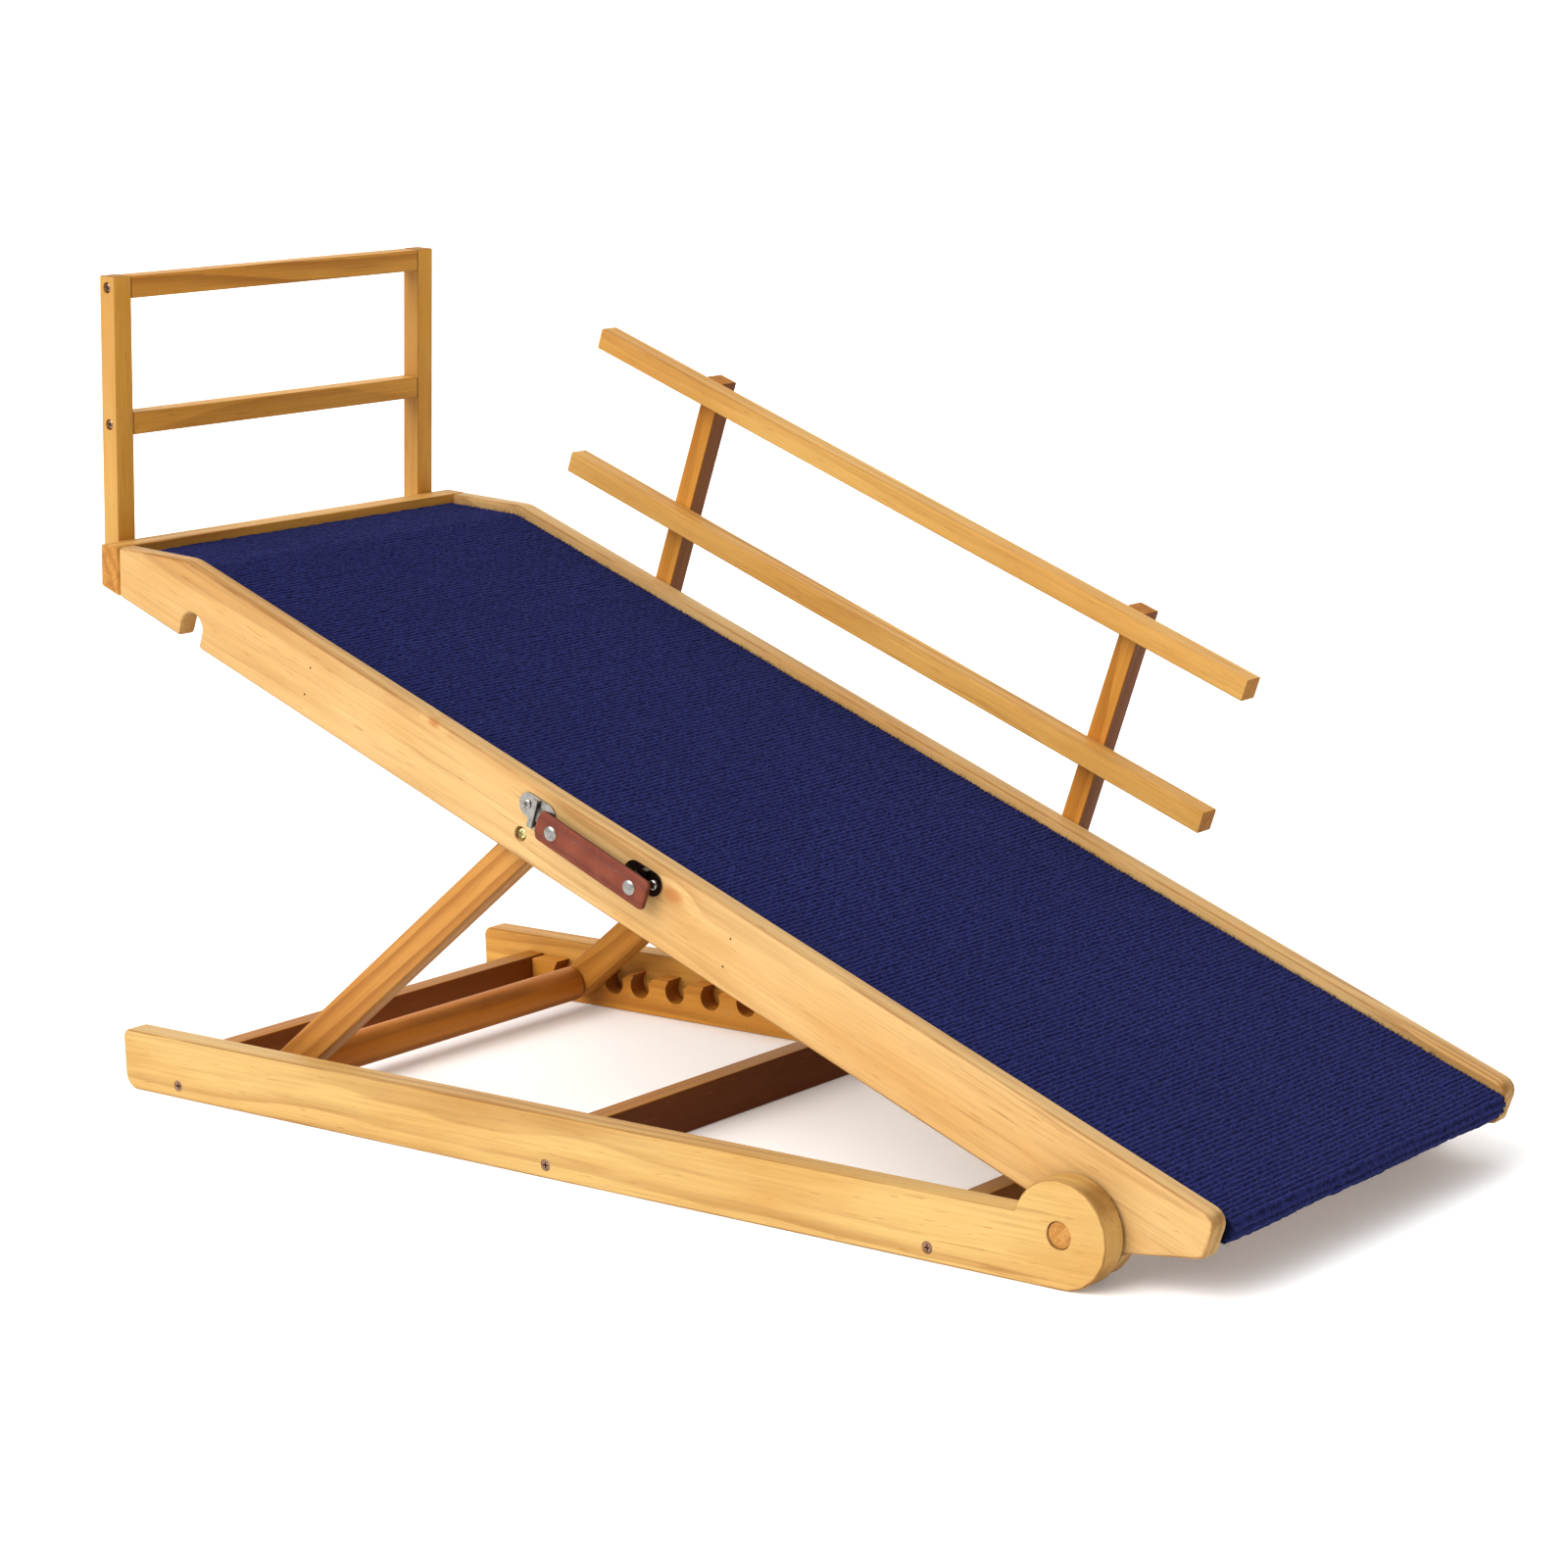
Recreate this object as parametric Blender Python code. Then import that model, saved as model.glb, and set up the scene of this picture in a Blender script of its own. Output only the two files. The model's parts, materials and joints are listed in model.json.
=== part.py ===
"""Folding pine pet ramp with carpeted deck, notched prop, end guard, side guard and carry handle.

Metres, +Z up. The high (platform) end is towards -X, the low (entry) end towards +X. The handle is on the
-Y side and the side guard on the +Y side. Pieces of the ramp frame are drawn in the ramp's own frame: U runs
up the slope from the pivot, V is square to the deck.
"""

import math

import bmesh
import bpy
from mathutils import Matrix, Vector

for old in list(bpy.data.objects):
    bpy.data.objects.remove(old, do_unlink=True)

# ---------------------------------------------------------------- driving dimensions
GAP = 0.0003                    # assembly clearance between touching pieces

BASE_WIDTH = 0.400              # over the two base rails
BASE_RAIL_T = 0.019
BASE_RAIL_H = 0.045
BASE_REAR = 0.843               # pivot axis to rear end of the base rails
PIVOT_X = 0.3855
PIVOT_Z = 0.0345
PIVOT_END_R = PIVOT_Z            # the round end touches the floor
CROSS_W = 0.018
CROSS_H = 0.0315
CROSS_BACK = (0.786, 0.421, 0.100)      # centres behind the pivot: rear, middle, front
BASE_SCREW_Z = 0.0093

RACK_T = 0.015
RACK_H = 0.0303
NOTCH_Z = 0.0220
NOTCH_R = 0.0095
NOTCH_FINE_PITCH = 0.0271
NOTCH_COARSE_PITCH = 0.036
NOTCH_CHANGE = 0.662            # the notch where the fine pitch becomes the coarse one
FINE_NOTCHES = 3
COARSE_NOTCHES = 4

SLOPE = math.radians(21.3)
BEND = math.radians(17.07)      # the platform falls back from the slope by this much
RAIL_T = 0.015
RAIL_D = 0.056
RAIL_SIDE_PLAY = 0.0023         # washer gap between base rail and ramp rail
BEND_U = 0.8425
PLATFORM_L = 0.0729
HEAD_T = 0.0185
TOE_U = -0.085
TOE_CUT_V = 0.0275
HEEL_R = 0.033
DOWEL_PIN_R = 0.0088
STOW_U = 0.8243
STOW_V = 0.0115
STOW_R = 0.010

CARPET_RECESS = 0.0063
CARPET_T = 0.0047
DECK_T = 0.009
DECK_GROOVE = 0.005

STRUT_U = 0.4894
STRUT_V = 0.0172
STRUT_L = 0.3370
STRUT_W = 0.025
STRUT_T = 0.016
STRUT_TILT = math.radians(37.8)         # below the horizontal
BAR_R = 0.0134
TENON_R = 0.0063

STOCK = 0.016                   # square stock of both guards
END_GUARD_H = 0.191
END_GUARD_HALF = 0.1613
END_POST_LAP = 0.027
END_TOP_BAR = 0.1747
END_MID_BAR = 0.0760
SIDE_POSTS_U = (0.7005, 0.2980)
SIDE_RAIL_U = (0.190, 0.804)
SIDE_TOP_V = 0.204
SIDE_LOW_V = 0.1026
SIDE_POST_FOOT_V = 0.006
POST_SCREW_V = (0.0165, 0.0370)
PILOT_U = (0.7050, 0.3027)        # spare holes for the guard on the near rail

HANDLE_V = 0.0376
STRAP_V = 0.0367
STRAP_TILT = math.radians(1.5)  # the strap's upper end stands higher off the slope
STRAP_U = (0.3672, 0.4690)
STRAP_W = 0.0215
STRAP_T = 0.004
STRAP_STANDOFF = 0.0045         # the strap bulges this far clear of the bridges
BRACKET_U = (0.481, 0.380)
BRACKET_W = 0.0222
BRACKET_INNER = 0.0180          # from the bridge's middle to the plate's end under the strap
BRACKET_OUTER = 0.0150          # from the bridge's middle to the plate's end beyond the screw
BRACKET_ROUND = 0.0083          # radius of the end round the screw, flush with the plate's upper edge
BRACKET_SCREW = 0.0080          # from the bridge's middle to the screw
PLATE_T = 0.001
SLOT_H = 0.0018
BRIDGE_L = 0.0040
BRIDGE_W = 0.0205
STRIP_T = 0.0009
STRIP_W = 0.010
STRIP_U = (0.3768, 0.3885, 0.3960, 0.4655, 0.4730, 0.4812)  # end, cranks out, flat, cranks back, end

BASE_IN = BASE_WIDTH / 2 - BASE_RAIL_T
RAIL_OUT = BASE_IN - RAIL_SIDE_PLAY
RAIL_IN = RAIL_OUT - RAIL_T


# ---------------------------------------------------------------- materials
def material(name, colour, roughness, metallic=0.0):
    made = bpy.data.materials.new(name)
    made.use_nodes = True
    shader = made.node_tree.nodes["Principled BSDF"]
    shader.inputs["Base Color"].default_value = (*colour, 1.0)
    shader.inputs["Roughness"].default_value = roughness
    shader.inputs["Metallic"].default_value = metallic
    return made


PINE = (0.72, 0.45, 0.20)
NAVY = (0.018, 0.024, 0.115)
LEATHER = (0.30, 0.075, 0.045)
NICKEL = (0.62, 0.60, 0.56)
BRONZE = (0.16, 0.09, 0.05)
BRASS_ZINC = (0.62, 0.55, 0.28)


# ---------------------------------------------------------------- outlines
def filleted(corners, steps=5):
    """Corners (a, b, radius) of a closed outline, with each corner that has a radius rounded."""
    points = []
    count = len(corners)
    for i, (a, b, radius) in enumerate(corners):
        here = Vector((a, b))
        if radius <= 0:
            points.append(here)
            continue
        back = (Vector(corners[i - 1][:2]) - here).normalized()
        ahead = (Vector(corners[(i + 1) % count][:2]) - here).normalized()
        half = math.acos(max(-1.0, min(1.0, back.dot(ahead)))) / 2
        reach = radius / math.tan(half)
        centre = here + (back + ahead).normalized() * (radius / math.sin(half))
        start = here + back * reach - centre
        sweep = start.angle_signed(here + ahead * reach - centre)
        for step in range(steps + 1):
            turned = start.copy()
            turned.rotate(Matrix.Rotation(-sweep * step / steps, 2))
            points.append(centre + turned)
    return [(p.x, p.y) for p in points]


def arc(ca, cb, radius, first, last, steps):
    """Points on a circle from one angle to another, both in degrees."""
    angles = [math.radians(first + (last - first) * i / steps) for i in range(steps + 1)]
    return [(ca + radius * math.cos(t), cb + radius * math.sin(t)) for t in angles]


def mesh_object(name, mesh_data, look, parent):
    obj = bpy.data.objects.new(name, mesh_data)
    bpy.context.scene.collection.objects.link(obj)
    if look is not None:
        mesh_data.materials.append(look)
    if parent is not None:
        obj.parent = parent
    return obj


def prism_into(bm, outline, low, high, axis):
    """Adds a closed prism to bm: the outline lies across the axis, and runs from low to high along it."""
    def place(a, b, along):
        return {"X": (along, a, b), "Y": (a, along, b), "Z": (a, b, along)}[axis]

    first = [bm.verts.new(place(a, b, low)) for a, b in outline]
    second = [bm.verts.new(place(a, b, high)) for a, b in outline]
    faces = [bm.faces.new(first), bm.faces.new(list(reversed(second)))]
    for i in range(len(outline)):
        j = (i + 1) % len(outline)
        faces.append(bm.faces.new((first[j], first[i], second[i], second[j])))
    bmesh.ops.recalc_face_normals(bm, faces=faces)


def lathe_into(bm, profile, centre, direction, segments):
    """Adds a turned solid: profile holds (radius, distance along direction), both ends closed to the axis."""
    turn = Vector((0, 0, 1)).rotation_difference(Vector(direction)).to_matrix()
    rings = []
    for radius, along in profile:
        if radius <= 0:
            rings.append([bm.verts.new(Vector(centre) + turn @ Vector((0, 0, along)))])
            continue
        ring = []
        for i in range(segments):
            t = 2 * math.pi * i / segments
            spot = Vector((radius * math.cos(t), radius * math.sin(t), along))
            ring.append(bm.verts.new(Vector(centre) + turn @ spot))
        rings.append(ring)
    faces = []
    for one, two in zip(rings, rings[1:]):
        for i in range(segments):
            j = (i + 1) % segments
            corners = [one[i % len(one)], one[j % len(one)], two[j % len(two)], two[i % len(two)]]
            unique = list(dict.fromkeys(corners))
            faces.append(bm.faces.new(unique))
    bmesh.ops.recalc_face_normals(bm, faces=faces)


def finish(name, bm, look, parent):
    data = bpy.data.meshes.new(name)
    bm.to_mesh(data)
    bm.free()
    return mesh_object(name, data, look, parent)


def slab(name, outline, low, high, look, parent=None, axis="Y", edge=0.0):
    bm = bmesh.new()
    prism_into(bm, outline, low, high, axis)
    obj = finish(name, bm, look, parent)
    if edge > 0:
        soft = obj.modifiers.new("Eased edges", "BEVEL")
        soft.width = edge
        soft.segments = 2
        soft.limit_method = "ANGLE"
        soft.angle_limit = math.radians(40)
    return obj


def box_outline(a0, a1, b0, b1):
    return [(a0, b0), (a1, b0), (a1, b1), (a0, b1)]


def combine(target, bm, operation, label):
    """Cuts bm's solids out of the target, or joins them to it."""
    data = bpy.data.meshes.new(label)
    bm.to_mesh(data)
    bm.free()
    tool = mesh_object(label, data, None, target.parent)
    tool.matrix_local = target.matrix_local
    tool.hide_render = True
    tool.display_type = "WIRE"
    step = target.modifiers.new(label, "BOOLEAN")
    step.operation = operation
    step.solver = "EXACT"
    step.object = tool


def drill(target, holes, label="Bores"):
    """holes: (centre, direction, profile) in the target's own frame."""
    bm = bmesh.new()
    for centre, direction, profile in holes:
        widest = max(radius for radius, _ in profile)
        lathe_into(bm, profile, centre, direction, 24 if widest > 0.0045 else 14)
    combine(target, bm, "DIFFERENCE", target.name + "_" + label)


def bore(radius, start, end):
    return [(0, start), (radius, start), (radius, end), (0, end)]


# ---------------------------------------------------------------- frames
def frame(name, parent, location, turn):
    empty = bpy.data.objects.new(name, None)
    bpy.context.scene.collection.objects.link(empty)
    empty.parent = parent
    empty.location = location
    empty.rotation_euler = (0.0, turn, 0.0)
    return empty


BASE = frame("Base_Frame", None, (PIVOT_X, 0, 0), 0.0)
RAMP = frame("Ramp_Frame", None, (PIVOT_X, 0, PIVOT_Z), SLOPE)
PROP = frame("Prop_Frame", RAMP, (-STRUT_U, 0, STRUT_V), -STRUT_TILT - SLOPE)
STRAP_MID = (STRAP_U[0] + STRAP_U[1]) / 2
STRAP = frame("Strap_Frame", RAMP, (-STRAP_MID, 0, STRAP_V), STRAP_TILT)


def uv(points):
    """Ramp outlines are written as (distance up the slope, height off it)."""
    return [(-u, v) for u, v in points]


def platform(s, d):
    """A point s past the bend along the platform and d above its top, as (u, v)."""
    return (
        BEND_U + s * math.cos(BEND) + d * math.sin(BEND),
        RAIL_D - s * math.sin(BEND) + d * math.cos(BEND),
    )


def under_bend(d):
    """The bend's corner on a surface d below the rail tops."""
    return (BEND_U - d * math.tan(BEND / 2), RAIL_D - d)


# ---------------------------------------------------------------- fasteners
def screw(name, look, parent, tip_side, direction, head_r, head_h, shank_r, length, flat=False):
    """A cross-head screw. tip_side is the point under the head; direction runs from there to the tip."""
    bm = bmesh.new()
    if flat:
        profile = [(0, -head_h), (head_r, -head_h), (shank_r, 0)]
    else:
        profile = [(0, -head_h), (head_r * 0.72, -head_h), (head_r, -head_h * 0.45), (head_r, 0),
                   (shank_r, 0)]
    profile += [(shank_r, length - 0.002), (0, length)]
    lathe_into(bm, profile, tip_side, direction, 14)
    obj = finish(name, bm, look, parent)
    cross = bmesh.new()
    turn = Vector((0, 0, 1)).rotation_difference(Vector(direction)).to_matrix()
    arm = head_r * 0.62
    half = head_r * 0.13
    star = [(arm, -half), (arm, half), (half, half), (half, arm), (-half, arm), (-half, half),
            (-arm, half), (-arm, -half), (-half, -half), (-half, -arm), (half, -arm), (half, -half)]
    prism_into(cross, star, -head_h - 0.001, -head_h + head_r * 0.4, "Z")
    for vert in cross.verts:
        vert.co = Vector(tip_side) + turn @ vert.co
    combine(obj, cross, "DIFFERENCE", name + "_Drive")
    return obj


# ---------------------------------------------------------------- base frame
def base_screw_holes(side):
    holes = []
    for back in CROSS_BACK:
        spot = (-back, side * BASE_WIDTH / 2, BASE_SCREW_Z)
        sink = [(0, -0.001), (0.0045, -0.001), (0.0041, 0.0003), (0.0021, 0.0031), (0.0021, 0.030),
                (0, 0.030)]
        holes.append((spot, (0, -side, 0), sink))
    return holes


bronze = material("Screw_Bronze", BRONZE, 0.42, 0.8)
for side, tag in ((-1, "Near"), (1, "Far")):
    inner, outer = sorted((side * BASE_IN, side * BASE_WIDTH / 2))
    meet = math.degrees(math.asin((BASE_RAIL_H - PIVOT_Z) / PIVOT_END_R))
    round_end = arc(0, PIVOT_Z, PIVOT_END_R, -90, 180 - meet, 26)
    rear = filleted([(0.0, 0.0, 0), (-BASE_REAR, 0.0, 0.011), (-BASE_REAR, BASE_RAIL_H, 0.007),
                     (0.0, BASE_RAIL_H, 0)], 4)[1:-1]
    outline = rear[::-1] + round_end
    rail = slab("Base_Rail_" + tag, outline, inner, outer, material("Pine_Base_" + tag, PINE, 0.45),
                BASE, edge=0.0016)
    pin_bore = ((0, side * (BASE_IN - 0.002), PIVOT_Z), (0, side, 0), bore(DOWEL_PIN_R + GAP, 0, 0.03))
    drill(rail, base_screw_holes(side) + [pin_bore])

for back, tag in zip(CROSS_BACK, ("Rear", "Middle", "Front")):
    outline = box_outline(-back - CROSS_W / 2, -back + CROSS_W / 2, 0.0005, CROSS_H)
    rail = slab("Cross_Rail_" + tag, outline, -BASE_IN + GAP, BASE_IN - GAP,
                material("Pine_Cross_" + tag, PINE, 0.5), BASE, edge=0.0012)
    drill(rail, [((-back, side * (BASE_IN + 0.001), BASE_SCREW_Z), (0, -side, 0), bore(0.0021, 0, 0.022))
                 for side in (-1, 1)])
    for side, word in ((-1, "Near"), (1, "Far")):
        under_head = (-back, side * (BASE_WIDTH / 2 - 0.0028), BASE_SCREW_Z)
        screw("Base_Screw_%s_%s" % (tag, word), bronze, BASE, under_head, (0, -side, 0),
              0.0038, 0.0025, 0.0018, 0.036, flat=True)


# ---------------------------------------------------------------- notched racks
def notch_outline(centre):
    """Round seat under a low pointed horn, with a throat that flares forward above it."""
    seat = arc(centre, NOTCH_Z, NOTCH_R, 133, 375, 18)
    horn = (centre + 0.0077, NOTCH_Z + 0.0031)
    top = RACK_H + 0.004
    flare = (0.0155 - 0.0077) / (RACK_H - horn[1])
    return seat + [horn, (centre + 0.0155 + flare * 0.004, top), (centre - 0.0066, top)]


def notch_centres():
    first = NOTCH_CHANGE + FINE_NOTCHES * NOTCH_FINE_PITCH
    fine = [first - i * NOTCH_FINE_PITCH for i in range(FINE_NOTCHES)]
    coarse = [NOTCH_CHANGE - i * NOTCH_COARSE_PITCH for i in range(COARSE_NOTCHES)]
    return [-c for c in fine + coarse]


for side, tag in ((-1, "Near"), (1, "Far")):
    near, far = sorted((side * (BASE_IN - GAP), side * (BASE_IN - GAP - RACK_T)))
    outline = box_outline(-CROSS_BACK[0] + CROSS_W / 2 + GAP, -CROSS_BACK[1] - CROSS_W / 2 - GAP,
                          0.0005, RACK_H)
    rack = slab("Notch_Rack_" + tag, outline, near, far, material("Pine_Rack_" + tag, PINE, 0.5), BASE,
                edge=0.001)
    cutter = bmesh.new()
    for centre in notch_centres():
        prism_into(cutter, notch_outline(centre), near - 0.002, far + 0.002, "Y")
    combine(rack, cutter, "DIFFERENCE", "Rack_Notches_" + tag)

# ---------------------------------------------------------------- pivot pins
for side, tag in ((-1, "Near"), (1, "Far")):
    bm = bmesh.new()
    reach = BASE_WIDTH / 2 - 0.0012 - RAIL_IN - 0.0008
    lathe_into(bm, [(0, 0), (DOWEL_PIN_R - 0.0006, 0), (DOWEL_PIN_R, 0.0006), (DOWEL_PIN_R, reach - 0.0006),
                    (DOWEL_PIN_R - 0.0006, reach), (0, reach)],
               (0, side * (RAIL_IN + 0.0008), PIVOT_Z), (0, side, 0), 28)
    finish("Pivot_Pin_" + tag, bm, material("Pine_Pin_" + tag, PINE, 0.55), BASE)


# ---------------------------------------------------------------- ramp side rails
def ramp_rail_outline():
    flat_start = -HEEL_R
    heel = arc(0, 0, HEEL_R, 180, 360, 20)
    stow = [(STOW_U - STOW_R, 0)] + arc(STOW_U, STOW_V, STOW_R, 180, 0, 14) + [(STOW_U + STOW_R, 0)]
    head_low = platform(PLATFORM_L, 0)
    drop = head_low[1] / math.cos(BEND)
    head = [platform(PLATFORM_L, -drop), head_low]
    crown = filleted([(*head_low, 0), (BEND_U, RAIL_D, 0.030), (TOE_U, RAIL_D, 0.010),
                      (TOE_U, TOE_CUT_V, 0.006), (flat_start, 0, 0)], 4)[1:-1]
    return uv(heel + stow + head + crown)


def deck_outline(spread):
    """Side view of both deck boards, grown by spread for the groove that holds them."""
    top = RAIL_D - CARPET_RECESS - CARPET_T + spread
    low = top - DECK_T - 2 * spread
    end = PLATFORM_L + (0.004 if spread > 0 else -GAP)
    return [
        (-0.081 + spread, low), under_bend(RAIL_D - low), platform(end, low - RAIL_D),
        platform(end, top - RAIL_D), under_bend(RAIL_D - top), (-0.081 + spread, top),
    ]


for side, tag in ((-1, "Near"), (1, "Far")):
    inner, outer = sorted((side * RAIL_IN, side * RAIL_OUT))
    rail = slab("Ramp_Rail_" + tag, ramp_rail_outline(), inner, outer,
                material("Pine_Ramp_" + tag, PINE, 0.42), RAMP, edge=0.0026)
    groove = bmesh.new()
    channel = [(max(u, -0.076), v) for u, v in deck_outline(GAP)]
    sides = sorted((side * (RAIL_IN - 0.002), side * (RAIL_IN + DECK_GROOVE + GAP)))
    prism_into(groove, uv(channel), sides[0], sides[1], "Y")
    combine(rail, groove, "DIFFERENCE", "Deck_Groove_" + tag)
    holes = [
        ((0, side * (RAIL_IN - 0.002), 0), (0, side, 0), bore(DOWEL_PIN_R + GAP, 0, 0.024)),
        ((-STRUT_U, side * (RAIL_OUT + 0.001), STRUT_V), (0, -side, 0),
         [(0, 0), (0.0053, 0), (0.0053, 0.0048), (0.0029, 0.0048), (0.0029, 0.022), (0, 0.022)]),
    ]
    stations, pilot = (SIDE_POSTS_U, 0.0019) if side > 0 else (PILOT_U, 0.0008)
    for u in stations:
        for v in POST_SCREW_V:
            holes.append(((-u, side * (RAIL_OUT + 0.001), v), (0, -side, 0), bore(pilot, 0, 0.0115)))
    drill(rail, holes)

# ---------------------------------------------------------------- head rail, deck, toe batten
head_front = PLATFORM_L + GAP
head_rear = head_front + HEAD_T


def head_line(s):
    top = platform(s, 0)
    return top, platform(s, -top[1] / math.cos(BEND))


front_top, front_low = head_line(head_front)
rear_top, rear_low = head_line(head_rear)
head = slab("Head_Rail", uv([front_low, front_top, rear_top, rear_low]), -RAIL_OUT, RAIL_OUT,
            material("Pine_Head", PINE, 0.45), RAMP, edge=0.0014)
post_mid = END_GUARD_HALF - STOCK / 2
guard_screw_d = -0.014
tilt = Vector((math.cos(BEND), 0, math.sin(BEND)))
lean = platform(head_rear, guard_screw_d)
drill(head, [((-lean[0], side * post_mid, lean[1]), tilt, bore(0.0021, -0.001, 0.013)) for side in (-1, 1)])

deck_low, deck_top = deck_outline(0)[0][1], deck_outline(0)[-1][1]
half_gap = 0.00025
low_mitre, top_mitre = under_bend(RAIL_D - deck_low), under_bend(RAIL_D - deck_top)
slab("Deck_Slope", uv([(-0.0755, deck_low), (low_mitre[0] - half_gap, deck_low),
                       (top_mitre[0] - half_gap, deck_top), (-0.0755, deck_top)]),
     -RAIL_IN - DECK_GROOVE, RAIL_IN + DECK_GROOVE, material("Ply_Slope", (0.62, 0.44, 0.25), 0.6), RAMP)
slab("Deck_Platform", uv([(low_mitre[0] + half_gap, deck_low), deck_outline(0)[2], deck_outline(0)[3],
                          (top_mitre[0] + half_gap, deck_top)]),
     -RAIL_IN - DECK_GROOVE, RAIL_IN + DECK_GROOVE, material("Ply_Platform", (0.62, 0.44, 0.25), 0.6), RAMP)
slab("Toe_Batten", uv([(-0.0750, deck_low - GAP), (-0.056, deck_low - GAP), (-0.056, 0.0195),
                       (-0.069, 0.0230)]),
     -RAIL_IN + GAP, RAIL_IN - GAP, material("Pine_Toe", PINE, 0.5), RAMP)

# ---------------------------------------------------------------- carpet
cover_top = RAIL_D - CARPET_RECESS
nose = filleted([(0.0, cover_top, 0), (-0.0875, cover_top, 0.0062), (-0.0872, 0.0350, 0.003),
                 (-0.0790, 0.0345, 0)], 4)[1:]
cover = [
    platform(PLATFORM_L - 0.0005, -CARPET_RECESS - CARPET_T + GAP),
    platform(PLATFORM_L - 0.0005, -CARPET_RECESS),
    under_bend(CARPET_RECESS),
]
cover += nose + [(-0.0790, deck_top + GAP), under_bend(CARPET_RECESS + CARPET_T - GAP)]
slab("Carpet", uv(cover), -RAIL_IN + 0.0005, RAIL_IN - 0.0005, material("Carpet_Navy", NAVY, 0.95), RAMP)

# ---------------------------------------------------------------- prop: two struts and the round bar
zinc = material("Screw_Yellow_Zinc", BRASS_ZINC, 0.35, 0.9)
strut_out = RAIL_IN - GAP
strut_in = strut_out - STRUT_T
for side, tag in ((-1, "Near"), (1, "Far")):
    ends = arc(0, 0, STRUT_W / 2, -90, 90, 10) + arc(-STRUT_L, 0, STRUT_W / 2, 90, 270, 10)
    inner, outer = sorted((side * strut_in, side * strut_out))
    strut = slab("Strut_" + tag, ends, inner, outer, material("Pine_Strut_" + tag, PINE, 0.48), PROP,
                 edge=0.0014)
    drill(strut, [
        ((0, side * (strut_out + 0.001), 0), (0, -side, 0), bore(0.0029, 0, 0.0135)),
        ((-STRUT_L, side * (strut_in - 0.002), 0), (0, side, 0), bore(TENON_R + GAP, 0, 0.022)),
    ])
    screw("Strut_Screw_" + tag, zinc, RAMP, (-STRUT_U, side * (RAIL_OUT - 0.0035), STRUT_V), (0, -side, 0),
          0.0043, 0.0024, 0.0025, 0.0225)

bm = bmesh.new()
bar_end = strut_in - GAP
tenon_end = BASE_IN - 0.0007
lathe_into(bm, [(0, -tenon_end), (TENON_R - 0.0006, -tenon_end), (TENON_R, -tenon_end + 0.0006),
                (TENON_R, -bar_end),
                (BAR_R - 0.0012, -bar_end), (BAR_R, -bar_end + 0.0012), (BAR_R, bar_end - 0.0012),
                (BAR_R - 0.0012, bar_end), (TENON_R, bar_end), (TENON_R, tenon_end - 0.0006),
                (TENON_R - 0.0006, tenon_end), (0, tenon_end)],
           (-STRUT_L, 0, 0), (0, 1, 0), 28)
finish("Prop_Bar", bm, material("Pine_Bar", PINE, 0.45), PROP)

# ---------------------------------------------------------------- end guard
guard_front = head_rear + GAP
guard_rear = guard_front + STOCK


def guard_box(d0, d1):
    return uv([platform(guard_front, d0), platform(guard_front, d1), platform(guard_rear, d1),
               platform(guard_rear, d0)])


bar_middles = (END_TOP_BAR + STOCK / 2, END_MID_BAR + STOCK / 2)
guard_mid = (guard_front + guard_rear) / 2
for side, tag in ((-1, "Near"), (1, "Far")):
    inner, outer = sorted((side * (END_GUARD_HALF - STOCK), side * END_GUARD_HALF))
    post = slab("End_Post_" + tag, guard_box(-END_POST_LAP, END_GUARD_H), inner, outer,
                material("Pine_End_Post_" + tag, PINE, 0.45), RAMP, edge=0.001)
    spots = [platform(guard_mid, d) for d in bar_middles]
    rear_spot = platform(guard_rear, guard_screw_d)
    holes = [((-u, side * (END_GUARD_HALF + 0.001), v), (0, -side, 0),
              [(0, 0), (0.0040, 0), (0.0040, 0.0032), (0.0021, 0.0032), (0.0021, 0.022), (0, 0.022)])
             for u, v in spots]
    holes.append(((-rear_spot[0], side * post_mid, rear_spot[1]), tilt, bore(0.0021, -0.001, 0.020)))
    drill(post, holes)
    for (u, v), word in zip(spots, ("Top", "Middle")):
        screw("End_Screw_%s_%s" % (word, tag), bronze, RAMP, (-u, side * (END_GUARD_HALF - 0.0020), v),
              (0, -side, 0), 0.0036, 0.0016, 0.0018, 0.028)
    under_head = (-rear_spot[0] - GAP * tilt.x, side * post_mid, rear_spot[1] - GAP * tilt.z)
    screw("End_Post_Screw_" + tag, bronze, RAMP, under_head, tilt, 0.0036, 0.0016, 0.0018, 0.026)

for low, word in ((END_TOP_BAR, "Top"), (END_MID_BAR, "Middle")):
    half = END_GUARD_HALF - STOCK - GAP
    bar = slab("End_Bar_" + word, guard_box(low, low + STOCK), -half, half,
               material("Pine_End_Bar_" + word, PINE, 0.45), RAMP, edge=0.001)
    u, v = platform(guard_mid, low + STOCK / 2)
    drill(bar, [((-u, side * (half + 0.001), v), (0, -side, 0), bore(0.0021, 0, 0.0165)) for side in (-1, 1)])

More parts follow.
